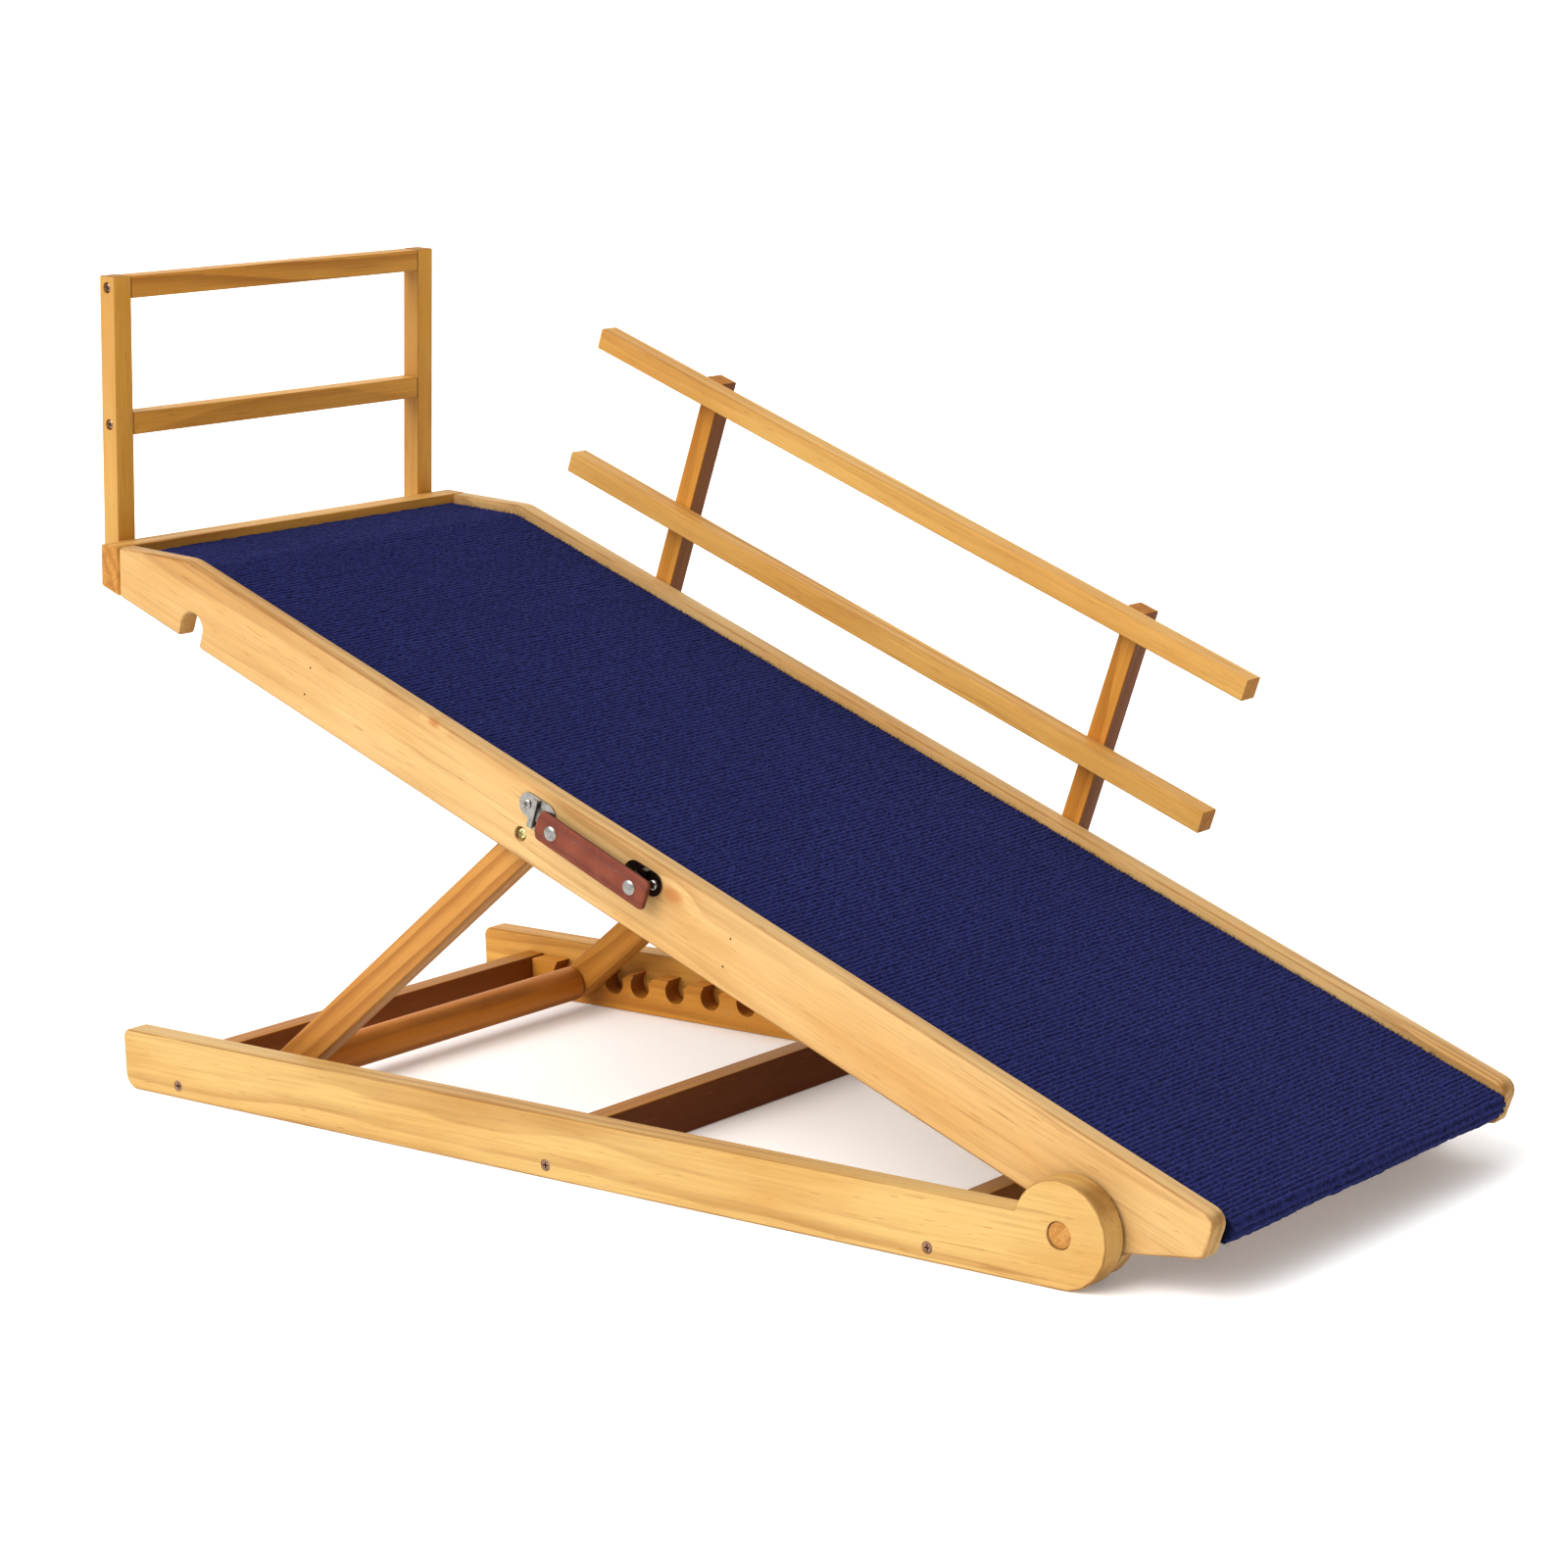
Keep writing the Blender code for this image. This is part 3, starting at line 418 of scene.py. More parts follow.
def carpet_look(name, half):
    """Ribbed needle-felt: painted shade in the furrows, short tufts along each rib, pale stray fibres, and
    painted shade along the cut edges beside the rails.

    It reads the Weave map, which holds (ribs from the top end, distance from the middle). half is half the
    carpet's width."""
    g = Graph(name)
    made = g.add("ShaderNodeUVMap", uv_map="Weave")
    split = g.add("ShaderNodeSeparateXYZ")
    g.feed(split.inputs[0], made.outputs[0])
    phase, width = split.outputs[0], split.outputs[1]
    cloth = g.vector(g.math("MULTIPLY", phase, RIB_PITCH), width, 0.0)
    rib_shading = g.smooth(g.math("COSINE", g.math("MULTIPLY", phase, 2 * math.pi)), 0.75, -0.7)
    tuft = g.noise(g.stretch(cloth, (1.35 / RIB_PITCH, 230, 1)), 2.0, 0.6, 0.3)
    fuzz = g.noise(g.stretch(cloth, (1500, 950, 1)), 3.0, 0.7)
    fleck = g.smooth(g.noise(g.stretch(cloth, (900, 480, 1), (7.3, 2.1, 0)), 1.0), 0.72, 0.80)
    cloud = g.noise(g.stretch(cloth, (8, 8, 1)), 3.0, 0.5)
    # painted shade in the furrows, lighter on the crests
    colour = g.mix(rib_shading, NAVY_FURROW_SHADE, NAVY_CREST)
    colour = g.mix(g.smooth(tuft, 0.38, 0.66, 0.0, 0.75), colour, NAVY_TUFT)
    colour = g.mix(g.smooth(fuzz, 0.30, 0.70, 0.50, 0.0), colour, NAVY_GAP)
    colour = g.mix(g.math("MULTIPLY", fleck, 0.60), colour, NAVY_FLECK)
    colour = g.mix(g.smooth(cloud, 0.3, 0.7, 0.0, 0.22), colour, NAVY_CLOUD)
    # painted shade along the cut edges, where the carpet meets the rails
    rim = g.smooth(g.math("ABSOLUTE", width), half - 0.0035, half - 0.0004, 0.0, 0.75)
    colour = g.mix(rim, colour, NAVY_EDGE_SHADE)
    relief = g.math("MULTIPLY_ADD", fuzz, 0.45, g.math("MULTIPLY", tuft, 0.9))
    g.set(Base_Color=colour, Roughness=0.96, Normal=g.bump(relief, 0.0012, 0.9))
    g.set(Sheen_Weight=0.10, Sheen_Roughness=0.5, Sheen_Tint=(0.45, 0.50, 0.95, 1.0), Specular_IOR_Level=0.12)
    return g.material


# ---------------------------------------------------------------- smooth shading of the CAD nodes
WELD_WITHIN = 1e-5
SHARP_FROM = math.radians(50)
FLAT_FACE_WEIGHT = 60


def rounding_group():
    """Joins the split triangles, then smooths every edge less sharp than SHARP_FROM."""
    group = bpy.data.node_groups.new("Joined_And_Smooth", "GeometryNodeTree")
    for way in ("INPUT", "OUTPUT"):
        group.interface.new_socket("Geometry", in_out=way, socket_type="NodeSocketGeometry")
    make, link = group.nodes.new, group.links.new
    start, end = make("NodeGroupInput"), make("NodeGroupOutput")
    merge = make("GeometryNodeMergeByDistance")
    merge.inputs["Distance"].default_value = WELD_WITHIN
    smooth = make("GeometryNodeSetShadeSmooth")
    angle = make("GeometryNodeInputMeshEdgeAngle")
    sharp = make("FunctionNodeCompare")
    sharp.inputs["B"].default_value = SHARP_FROM
    normal = make("GeometryNodeSetMeshNormal")
    normal.mode = "SHARPNESS"
    normal.inputs["Remove Custom"].default_value = True
    link(start.outputs[0], merge.inputs["Geometry"])
    link(merge.outputs["Geometry"], smooth.inputs["Geometry"])
    link(angle.outputs["Unsigned Angle"], sharp.inputs["A"])
    link(sharp.outputs["Result"], normal.inputs["Edge Sharpness"])
    link(smooth.outputs["Geometry"], normal.inputs["Mesh"])
    link(normal.outputs["Mesh"], end.inputs[0])
    return group


ROUNDING = rounding_group()


def smooth_normals(obj):
    """Shades round faces round and keeps flat faces flat, with no change to the node's mesh."""
    obj.modifiers.new("Joined", "NODES").node_group = ROUNDING
    weighted = obj.modifiers.new("Flat_Faces_First", "WEIGHTED_NORMAL")
    weighted.keep_sharp = True
    weighted.weight = FLAT_FACE_WEIGHT


def dress(obj, material):
    obj.data.materials.clear()
    obj.data.materials.append(material)


# ---------------------------------------------------------------- looks of the CAD nodes
# the name's start, the grain, a direction across it, the tone, the tone of the faces that look up or down the
# ramp, and how brown the end grain is. The tones of the shaded pieces (cross rails, side posts, prop bar and
# others) hold painted shade, and the faces' tone is painted light and shade.
GRAIN = (
    ("Base_Rail_Near", X, Z, (0.535, 0.360, 0.140), (0.600, 0.410, 0.155), 0.12),
    ("Base_Rail_Far", X, Z, (0.600, 0.340, 0.085), (0.580, 0.320, 0.080), 0.40),
    ("Notch_Rack", X, Z, (0.600, 0.300, 0.056), (0.440, 0.180, 0.026), 0.85),
    ("Cross_Rail_Rear", Y, Z, (0.400, 0.170, 0.020), (0.225, 0.068, 0.005), 0.85),
    ("Cross_Rail_Middle", Y, Z, (0.400, 0.190, 0.026), (0.150, 0.042, 0.003), 0.85),
    ("Cross_Rail_Front", Y, Z, (0.420, 0.200, 0.030), (0.320, 0.125, 0.016), 0.85),
    ("Pivot_Pin", Y, Z, (0.600, 0.370, 0.130), (0.500, 0.260, 0.070), 0.80),
    ("Ramp_Rail", UP_SLOPE, OFF_DECK, (0.560, 0.372, 0.166), (0.580, 0.400, 0.175), 0.25),
    ("Head_Rail", Y, OFF_DECK, (0.600, 0.350, 0.105), (0.800, 0.410, 0.085), 0.85),
    ("Toe_Batten", Y, OFF_DECK, (0.560, 0.310, 0.070), (0.500, 0.260, 0.050), 0.85),
    ("End_Post", OFF_PLATFORM, Y, (0.490, 0.290, 0.086), (0.690, 0.370, 0.066), 0.85),
    ("End_Bar", Y, OFF_PLATFORM, (0.620, 0.350, 0.085), (0.650, 0.325, 0.056), 0.85),
    ("Side_Post", OFF_DECK, UP_SLOPE, (0.540, 0.260, 0.050), (0.215, 0.074, 0.009), 0.85),
    ("Side_Rail", UP_SLOPE, OFF_DECK, (0.600, 0.355, 0.108), (0.540, 0.290, 0.075), 0.60),
    ("Strut_Near", ALONG_STRUT, ACROSS_STRUT, (0.480, 0.250, 0.066), (0.480, 0.250, 0.066), 0.85),
    ("Strut_Far", ALONG_STRUT, ACROSS_STRUT, (0.500, 0.245, 0.048), (0.500, 0.245, 0.048), 0.85),
    ("Prop_Bar", Y, Z, (0.500, 0.200, 0.028), (0.500, 0.200, 0.028), 0.85),
)
RAIL_FACE_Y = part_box("Ramp_Rail_Near")[0].y
KNOTS = {                       # centre, width along the grain, width across it
    "Ramp_Rail_Near": ((on_ramp(0.356, 0.041, RAIL_FACE_Y), 0.010, 0.0055),
                       (on_ramp(0.585, 0.053, RAIL_FACE_Y), 0.006, 0.003)),
}

nickel = metal("Nickel", (0.36, 0.345, 0.32), 0.20, 0.55)
# the lower bracket's darker nickel is a painted dark reflection
nickel_dark_reflection = metal("Nickel_Dark_Reflection", (0.17, 0.155, 0.14), 0.14, 0.35)
bronze = metal("Bronze_Screw", (0.34, 0.215, 0.155), 0.18, 0.85)
yellow_zinc = metal("Yellow_Zinc", (0.66, 0.60, 0.32), 0.26, 0.4)
ply = plywood("Plywood", UP_SLOPE, Y)


def look_of(name, seed):
    for start, along, across, tone, face_light_and_shade, end_share in GRAIN:
        if name.startswith(start):
            return pine(name, along, across, seed, tone, face_light_and_shade, end_share, KNOTS.get(name, ()))
    if name.startswith("Deck_"):
        return ply
    if name.startswith("Strut_Screw"):
        return yellow_zinc
    # painted dark reflection on the lower bracket
    if name == "Handle_Bracket_Lower":
        return nickel_dark_reflection
    if name.startswith("Handle_"):
        return nickel
    return bronze


for seed, name in enumerate(sorted(nodes)):
    if name in ("Carpet", "Handle_Strap"):
        continue
    smooth_normals(nodes[name])
    dress(nodes[name], look_of(name, seed))


# ---------------------------------------------------------------- mesh helpers
def placed(name, data):
    """A new object in the scene."""
    made = bpy.data.objects.new(name, data)
    bpy.context.scene.collection.objects.link(made)
    return made


def mesh_piece(name, points, faces, uv=None):
    """A smooth-shaded object with its normals outwards, and a Weave map if uv is given."""
    data = bpy.data.meshes.new(name)
    data.from_pydata([tuple(p) for p in points], [], faces)
    bm = bmesh.new()
    bm.from_mesh(data)
    bmesh.ops.recalc_face_normals(bm, faces=bm.faces)
    bm.to_mesh(data)
    bm.free()
    data.polygons.foreach_set("use_smooth", [True] * len(data.polygons))
    if uv is not None:
        weave = data.uv_layers.new(name="Weave")
        corners = np.zeros(len(data.loops), np.int32)
        data.loops.foreach_get("vertex_index", corners)
        weave.data.foreach_set("uv", np.array(uv, np.float32)[corners].ravel())
    return placed(name, data)


def gathered(parts):
    """One (points, faces) from several."""
    points, faces = [], []
    for more, more_faces in parts:
        base = len(points)
        points += more
        faces += [tuple(base + k for k in face) for face in more_faces]
    return points, faces


def grid_faces(start, rows, columns):
    """Quads between the points of a grid that is stored row by row from start."""
    faces = []
    for i in range(rows - 1):
        for j in range(columns - 1):
            a = start + i * columns + j
            faces.append((a, a + 1, a + columns + 1, a + columns))
    return faces


def rim_spacing(length, edge, step):
    """Distances from 0 to length, close together within edge of both ends."""
    near = [0.0, 0.06, 0.18, 0.36, 0.6, 0.82, 1.0]
    start = [edge * t for t in near]
    count = max(2, round((length - 2 * edge) / step))
    inner = [edge + (length - 2 * edge) * i / count for i in range(1, count)]
    return start + inner + [length - d for d in reversed(start)]


def turned(side, axis, share):
    """The direction side, turned about the axis by a share of a full turn."""
    spoke = side.copy()
    spoke.rotate(Matrix.Rotation(2 * math.pi * share, 3, axis))
    return spoke


def rounded(corners, radii, step):
    """Points along a line through the corners, with each inner corner rounded, about step apart."""
    path = [corners[0]]
    for before, here, after, radius in zip(corners, corners[1:], corners[2:], radii):
        back, ahead = (before - here).normalized(), (after - here).normalized()
        half = math.acos(max(-1.0, min(1.0, back.dot(ahead)))) / 2
        reach = radius / math.tan(half)
        centre = here + (back + ahead).normalized() * (radius / math.sin(half))
        first, last = here + back * reach - centre, here + ahead * reach - centre
        sweep = first.angle_signed(last)
        turns = max(2, math.ceil(abs(sweep) * radius / step))
        for i in range(turns + 1):
            spoke = first.copy()
            spoke.rotate(Matrix.Rotation(-sweep * i / turns, 2))
            path.append(centre + spoke)
    path.append(corners[-1])
    spaced = [path[0]]
    for target in path[1:]:
        start = spaced[-1]
        pieces = max(1, math.ceil((target - start).length / step))
        spaced += [start.lerp(target, i / pieces) for i in range(1, pieces + 1)]
    return spaced


# ---------------------------------------------------------------- carpet
SIDE_CLEAR = 0.0006             # play between the carpet and each ramp rail
POINTS_PER_RIB = 4
ROW_STEP = RIB_PITCH / POINTS_PER_RIB
COLUMN_STEP = 0.0041
BEND_RADII = (0.030, 0.0060, 0.0045)        # at the platform, the toe's top edge and the hem
TOE_STAND = 0.0010              # how far the carpet stands out of the CAD solid at the toe, and at the hem
HEM_STAND = 0.0006
HEM_LENGTH = 0.0085             # the turned-under hem
TOE_ZONE = 0.02                 # the hem is looked for this near the toe
NOSE_LENGTH = 0.024             # ribs open up over this last stretch, which loses this share of them
NOSE_SPREAD = 0.34
TOE_LENGTH = 0.034              # ribs deepen and loosen over the toe
RIB_DEPTH = 0.0013
TOE_DEPTH = 1.1                 # how much deeper the ribs are at the toe, as a share
CARPET_BACK = 0.0043            # the sheet's thickness
BACK_ROW_STEP = 16              # the back has fewer rows, and more of them round the toe
TOE_BACK_ROWS = 60
TOE_BACK_ROW_STEP = 3
EDGE_FALL = 0.0030              # the top falls off this near the cut edges, by EDGE_DROP
EDGE_DROP = 0.0016
TUFT_JITTER = 0.00022           # how much the tufts of a rib differ, in height and along the sheet
TUFT_SLIP = 0.00028
UNEVEN = 0.0004                 # slow waves in the face, the looser ones over the toe
TOE_UNEVEN = 0.0013
WANDER = 0.0010                 # how far the ribs wander along the sheet
HEM_ROLL = 0.0014               # how far the hem's roll and the toe's face stand out
TOE_SWELL = 0.0006
EDGE_SINK = 0.0009              # the outermost points lie lower, by an uneven amount, and in from the edge
EDGE_ROUGH = 0.0004
EDGE_FRAY = 0.0003


def farthest(node, direction):
    """The node's own vertex that lies farthest in that direction."""
    return max((Vector(v.co) for v in nodes[node].data.vertices), key=lambda p: p.dot(direction))


def carpet_profile():
    """Corners of the carpet's outer line in (u, v): its top end, the bend, the toe's top edge and its hem."""
    deck_v = ramp_uv(mounts["walking_face"]["pos_m"])[1]
    level = Vector(ramp_uv(mounts["platform_face"]["pos_m"]))
    flat_run = Y.cross(OFF_PLATFORM)
    fall = Vector((flat_run.dot(UP_SLOPE), flat_run.dot(OFF_DECK)))
    fall = fall if fall.x < 0 else -fall
    bend = level + fall * ((deck_v - level.y) / fall.y)
    rear = Vector(ramp_uv(farthest("Carpet", UP_SLOPE)))
    top_end = level + fall * (rear - level).dot(fall)
    places = [ramp_uv(v.co) for v in nodes["Carpet"].data.vertices]
    toe = min(u for u, v in places)
    hem = min(v for u, v in places if u < toe + TOE_ZONE)
    return top_end, bend, Vector((toe, deck_v)), Vector((toe, hem))


def carpet_half():
    """Half the carpet's width: the gap between the ramp rails less a little play."""
    return min(abs(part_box("Ramp_Rail_Near")[1].y), abs(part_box("Ramp_Rail_Far")[0].y)) - SIDE_CLEAR


def carpet_line():
    """The carpet's outer line as (u, v) points ROW_STEP apart, the inward direction and the run at each."""
    top_end, bend, toe, hem = carpet_profile()
    corners = [top_end, bend, Vector((toe.x - TOE_STAND, toe.y)),
               Vector((hem.x - HEM_STAND, hem.y + HEM_STAND)), Vector((hem.x + HEM_LENGTH, hem.y))]
    line = rounded(corners, BEND_RADII, ROW_STEP)
    reach = [0.0]
    for a, b in zip(line, line[1:]):
        reach.append(reach[-1] + (b - a).length)
    even = np.arange(0, reach[-1], ROW_STEP)
    u = np.interp(even, reach, [p.x for p in line])
    v = np.interp(even, reach, [p.y for p in line])
    du, dv = np.gradient(u), np.gradient(v)
    size = np.hypot(du, dv)
    inward = np.stack([dv / size, -du / size], 1)
    if inward[len(inward) // 2][1] > 0:
        inward = -inward
    return np.stack([u, v], 1), inward, even


def ripple(s, y, along, across, layer):
    """Smooth noise, finer along and across the sheet as those numbers grow."""
    return noise.noise(Vector((s * along, y * across, layer)))


def carpet_top(line, inward, even, phase, across, half):
    """The ribbed face's points, row by row from the top end."""
    draw = np.random.default_rng(7)
    columns = len(across)
    rib = np.floor(phase).astype(int)
    hill = np.sin(np.pi * (phase - rib)) ** 0.75
    toe_share = np.clip(1 - (even[-1] - even) / TOE_LENGTH, 0, 1)
    dash = draw.normal(0, 1, (rib.max() + 1, columns))
    slip = draw.normal(0, 1, (rib.max() + 1, columns))
    points = []
    for i, s in enumerate(even):
        hem = max(0.0, 1 - (even[-1] - s) / HEM_LENGTH)
        for j, y in enumerate(across):
            fall = max(0.0, 1 - (half - abs(y)) / EDGE_FALL)
            sink = RIB_DEPTH * (1 + TOE_DEPTH * toe_share[i]) * (1 - hill[i])
            sink += TUFT_JITTER * dash[rib[i], j] * hill[i] + UNEVEN * ripple(s, y, 26, 30, 9.1)
            sink += TOE_UNEVEN * toe_share[i] * ripple(s, y, 60, 30, 5.5)
            sink += EDGE_DROP * fall * fall
            sink -= HEM_ROLL * math.sin(math.pi * hem) + TOE_SWELL * toe_share[i]
            creep = TUFT_SLIP * slip[rib[i], j] + WANDER * ripple(s, y, 12, 16, 1.7)
            side = y
            if j in (0, columns - 1):
                sink += EDGE_SINK + EDGE_ROUGH * dash[rib[i], j]
                side -= math.copysign(EDGE_FRAY + EDGE_FRAY * abs(slip[rib[i], j]), y)
            drift = np.array([inward[i][1], -inward[i][0]]) * creep
            u, v = line[i] + inward[i] * sink + drift
            points.append(on_ramp(u, v, side))
    return points


def carpet_faces(rows, columns, back_rows):
    """The ribbed face, the back with its two sides, and the two ends."""
    start_back = rows * columns
    faces = grid_faces(0, rows, columns)
    for k in range(len(back_rows) - 1):
        for j in range(columns - 1):
            a = start_back + k * columns + j
            faces.append((a, a + columns, a + columns + 1, a + 1))
        for j in (0, columns - 1):
            rim = [i * columns + j for i in range(back_rows[k], back_rows[k + 1] + 1)]
            faces.append(rim + [start_back + (k + 1) * columns + j, start_back + k * columns + j])
    last_back = start_back + (len(back_rows) - 1) * columns
    for j in range(columns - 1):
        faces.append((j + 1, j, start_back + j, start_back + j + 1))
        a = (rows - 1) * columns + j
        faces.append((a, a + 1, last_back + j + 1, last_back + j))
    return faces


def build_carpet():
    """One closed sheet: ribs across it, deeper and looser over the toe, with a rolled hem at the lower edge.

    Returns the piece and its flat size."""
    line, inward, even = carpet_line()
    half = carpet_half()
    across = np.array(rim_spacing(2 * half, EDGE_FALL, COLUMN_STEP)) - half
    nose = np.clip((even - (even[-1] - NOSE_LENGTH)) / NOSE_LENGTH, 0, 1)
    phase = even / RIB_PITCH - NOSE_SPREAD * nose * NOSE_LENGTH / RIB_PITCH
    rows = len(even)
    points = carpet_top(line, inward, even, phase, across, half)
    toe_rows = range(rows - TOE_BACK_ROWS, rows, TOE_BACK_ROW_STEP)
    back_rows = sorted({*range(0, rows, BACK_ROW_STEP), *toe_rows, rows - 1})
    for i in back_rows:
        u, v = line[i] + inward[i] * CARPET_BACK
        points += [on_ramp(u, v, y) for y in across]
    weave = [(phase[i], y) for i in (*range(rows), *back_rows) for y in across]
    faces = carpet_faces(rows, len(across), back_rows)
    return mesh_piece("Ribbed_Carpet", points, faces, weave), (2 * half, float(even[-1]))


FIBRE_COUNT = 2300
HEM_FIBRE_EVERY = 6             # every sixth fibre is on the hem, the others on the cut edges
FIBRE_LENGTH = (0.0014, 0.0034)
FIBRE_RADIUS = (0.00009, 0.00018)
FIBRE_ROOT = 0.0012             # how deep in the carpet a fibre starts
FIBRE_INSET = (0.0004, 0.0016)  # how far in from the cut edge it starts
HEM_ROWS = 10
FIBRE_TAPER = 0.75


def strand(path, radius):
    """A closed three-sided hair along the path, tapering to its tip: (points, faces)."""
    points, faces = [], []
    for i, here in enumerate(path):
        ahead = (path[min(i + 1, len(path) - 1)] - path[max(i - 1, 0)]).normalized()
        side = ahead.orthogonal().normalized()
        girth = radius * (1 - FIBRE_TAPER * i / (len(path) - 1))
        points += [here + turned(side, ahead, k / 3) * girth for k in range(3)]
    for i in range(len(path) - 1):
        for k in range(3):
            a, b = 3 * i + k, 3 * i + (k + 1) % 3
            faces.append((a, b, b + 3, a + 3))
    top = 3 * (len(path) - 1)
    faces += [(2, 1, 0), (top, top + 1, top + 2)]
    return points, faces


def build_fuzz():
    """Loose fibres along the carpet's two cut edges and its hem."""
    draw = random.Random(11)
    line, inward, _ = carpet_line()
    half = carpet_half()
    hairs = []
    for n in range(FIBRE_COUNT):
        on_hem = n % HEM_FIBRE_EVERY == 0
        i = draw.randrange(4, len(line) - 6)
        way = draw.choice((-1, 1))
        if on_hem:
            i = len(line) - 1 - draw.randrange(0, HEM_ROWS)
            y = draw.uniform(-half, half) * 0.995
        else:
            y = way * (half - draw.uniform(*FIBRE_INSET))
        out = -Vector(inward[i])
        length = draw.uniform(*FIBRE_LENGTH)
        lean_u, lean_y = draw.gauss(0, 0.55), draw.gauss(0, 0.45)
        if not on_hem:
            lean_y = -way * abs(lean_y)
        root = Vector(line[i]) - out * FIBRE_ROOT
        path = []
        for t in (0.0, 0.5, 1.0):
            u = root.x + out.x * length * t - out.y * lean_u * length * t * t
            v = root.y + out.y * length * t + out.x * lean_u * length * t * t
            path.append(on_ramp(u, v, y + lean_y * length * t * t))
        hairs.append(strand(path, draw.uniform(*FIBRE_RADIUS)))
    points, faces = gathered(hairs)
    return mesh_piece("Carpet_Edge_Fibres", points, faces, [(p.x / RIB_PITCH, p.y) for p in points])


navy = carpet_look("Navy_Carpet", carpet_half())
carpet, carpet_flat = build_carpet()
fuzz = build_fuzz()
for piece in (carpet, fuzz):
    dress(piece, navy)
    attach(piece, "ramp")
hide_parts("Carpet")


# ---------------------------------------------------------------- leather strap
STRAP_CORNER = 0.0042           # radius of the strap's four corners
STRAP_EASE = 0.0014             # radius of its eased edges
STRAP_SINK = 0.0009             # how far its face lies back beside the strip, and stands out over it
STRAP_SWELL = 0.0007
END_SWELL = 0.35                # the share of the swell that is left outside the rivets
RIVET_CLEAR = 0.0058            # the swell starts this far from a rivet's middle
RIVET_FADE = 0.006


def eased(value):
    """A smooth step from 0 to 1."""
    value = max(0.0, min(1.0, value))
    return value * value * (3 - 2 * value)


def quarter_round(radius, gap):
    """How far a rounded edge has fallen away at a point gap inside it."""
    gap = min(gap, radius)
    return radius - math.sqrt(max(0.0, radius ** 2 - (radius - gap) ** 2))


def strap_inset(u, v, half_u, half_v):
    """How far inside the strap's round-cornered outline a point lies."""
    over_u, over_v = abs(u) - (half_u - STRAP_CORNER), abs(v) - (half_v - STRAP_CORNER)
    return max(0.0, STRAP_CORNER - math.hypot(max(over_u, 0), max(over_v, 0)) - min(max(over_u, over_v), 0))


def strap_relief(u, v, off_middle, rivets):
    """How far the strap's face lies behind its outermost plane."""
    near_rivet = min((Vector((u, v)) - spot).length for spot in rivets)
    open_field = eased((near_rivet - RIVET_CLEAR) / RIVET_FADE)
    band = eased((STRIP_FOLD + 0.0006 - off_middle) / 0.0016)
    between = 1.0 if rivets[0].x < u < rivets[1].x else END_SWELL
    relief = STRAP_SINK * (1 - band) - STRAP_SWELL * band * open_field * between
    return relief + 0.00012 * ripple(u, v, 90, 90, 2.2)


def build_strap():
    """A thick strap: eased edges, round corners, and the steel strip inside it showing as a soft raised band.

    Returns the piece and the direction across its face."""
    low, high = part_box("Handle_Strap")
    rivets = [Vector(ramp_uv(middle("Handle_Rivet_" + end))) for end in ("Lower", "Upper")]
    towards = (rivets[1] - rivets[0]).normalized()
    aside = Vector((-towards.y, towards.x))
    centre = Vector(ramp_uv(middle("Handle_Strap")))
    places = [Vector(ramp_uv(v.co)) - centre for v in nodes["Handle_Strap"].data.vertices]
    length = 2 * max(p.dot(towards) for p in places)
    width = 2 * max(p.dot(aside) for p in places)
    rows = rim_spacing(length, 0.0055, 0.0016)
    shares = [b / width * 2 - 1 for b in rim_spacing(width, 0.0026, 0.0011)]
    points = []
    for front in (True, False):
        for a in rows:
            pull = quarter_round(STRAP_CORNER, min(a, length - a))
            for share in shares:
                b = share * (width / 2 - pull)
                drop = quarter_round(STRAP_EASE, strap_inset(a - length / 2, b, length / 2, width / 2))
                u, v = centre + towards * (a - length / 2) + aside * b
                y = low.y + drop + strap_relief(u, v, abs(b), rivets) if front else high.y - drop
                points.append(on_ramp(u, v, y))
    wide, tall = len(shares), len(rows)
    to_back = wide * tall
    faces = grid_faces(0, tall, wide) + grid_faces(to_back, tall, wide)
    rim = [(0, j) for j in range(wide)] + [(i, wide - 1) for i in range(1, tall)]
    rim += [(tall - 1, j) for j in range(wide - 2, -1, -1)] + [(i, 0) for i in range(tall - 2, 0, -1)]
    loop = [i * wide + j for i, j in rim]
    faces += [(a, b, b + to_back, a + to_back) for a, b in zip(loop, loop[1:] + loop[:1])]
    return mesh_piece("Leather_Strap", points, faces), UP_SLOPE * aside.x + OFF_DECK * aside.y


strap, strap_across = build_strap()
dress(strap, leather("Brown_Leather", middle("Handle_Strap"), strap_across))
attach(strap, "strap")
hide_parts("Handle_Strap")


# ---------------------------------------------------------------- brads in the racks
BRAD_RADIUS = 0.00085
BRAD_TURNS = 12
BRAD_TOP, BRAD_POINT = 0.38, -2.1           # heights of its two tips, in radii
BRAD_PROFILE = (                # (radius, height) of the rings between them, in radii
    (0.5, 0.34), (0.85, 0.20), (1.0, 0.0), (0.55, -0.10), (0.50, -2.0))
BRAD_SPOTS = (                  # from the rack's rear end, and above the ground
    (0.0205, 0.0050), (0.1070, 0.0275), (0.1020, 0.0120), (0.2050, 0.0131), (0.3080, 0.0120))


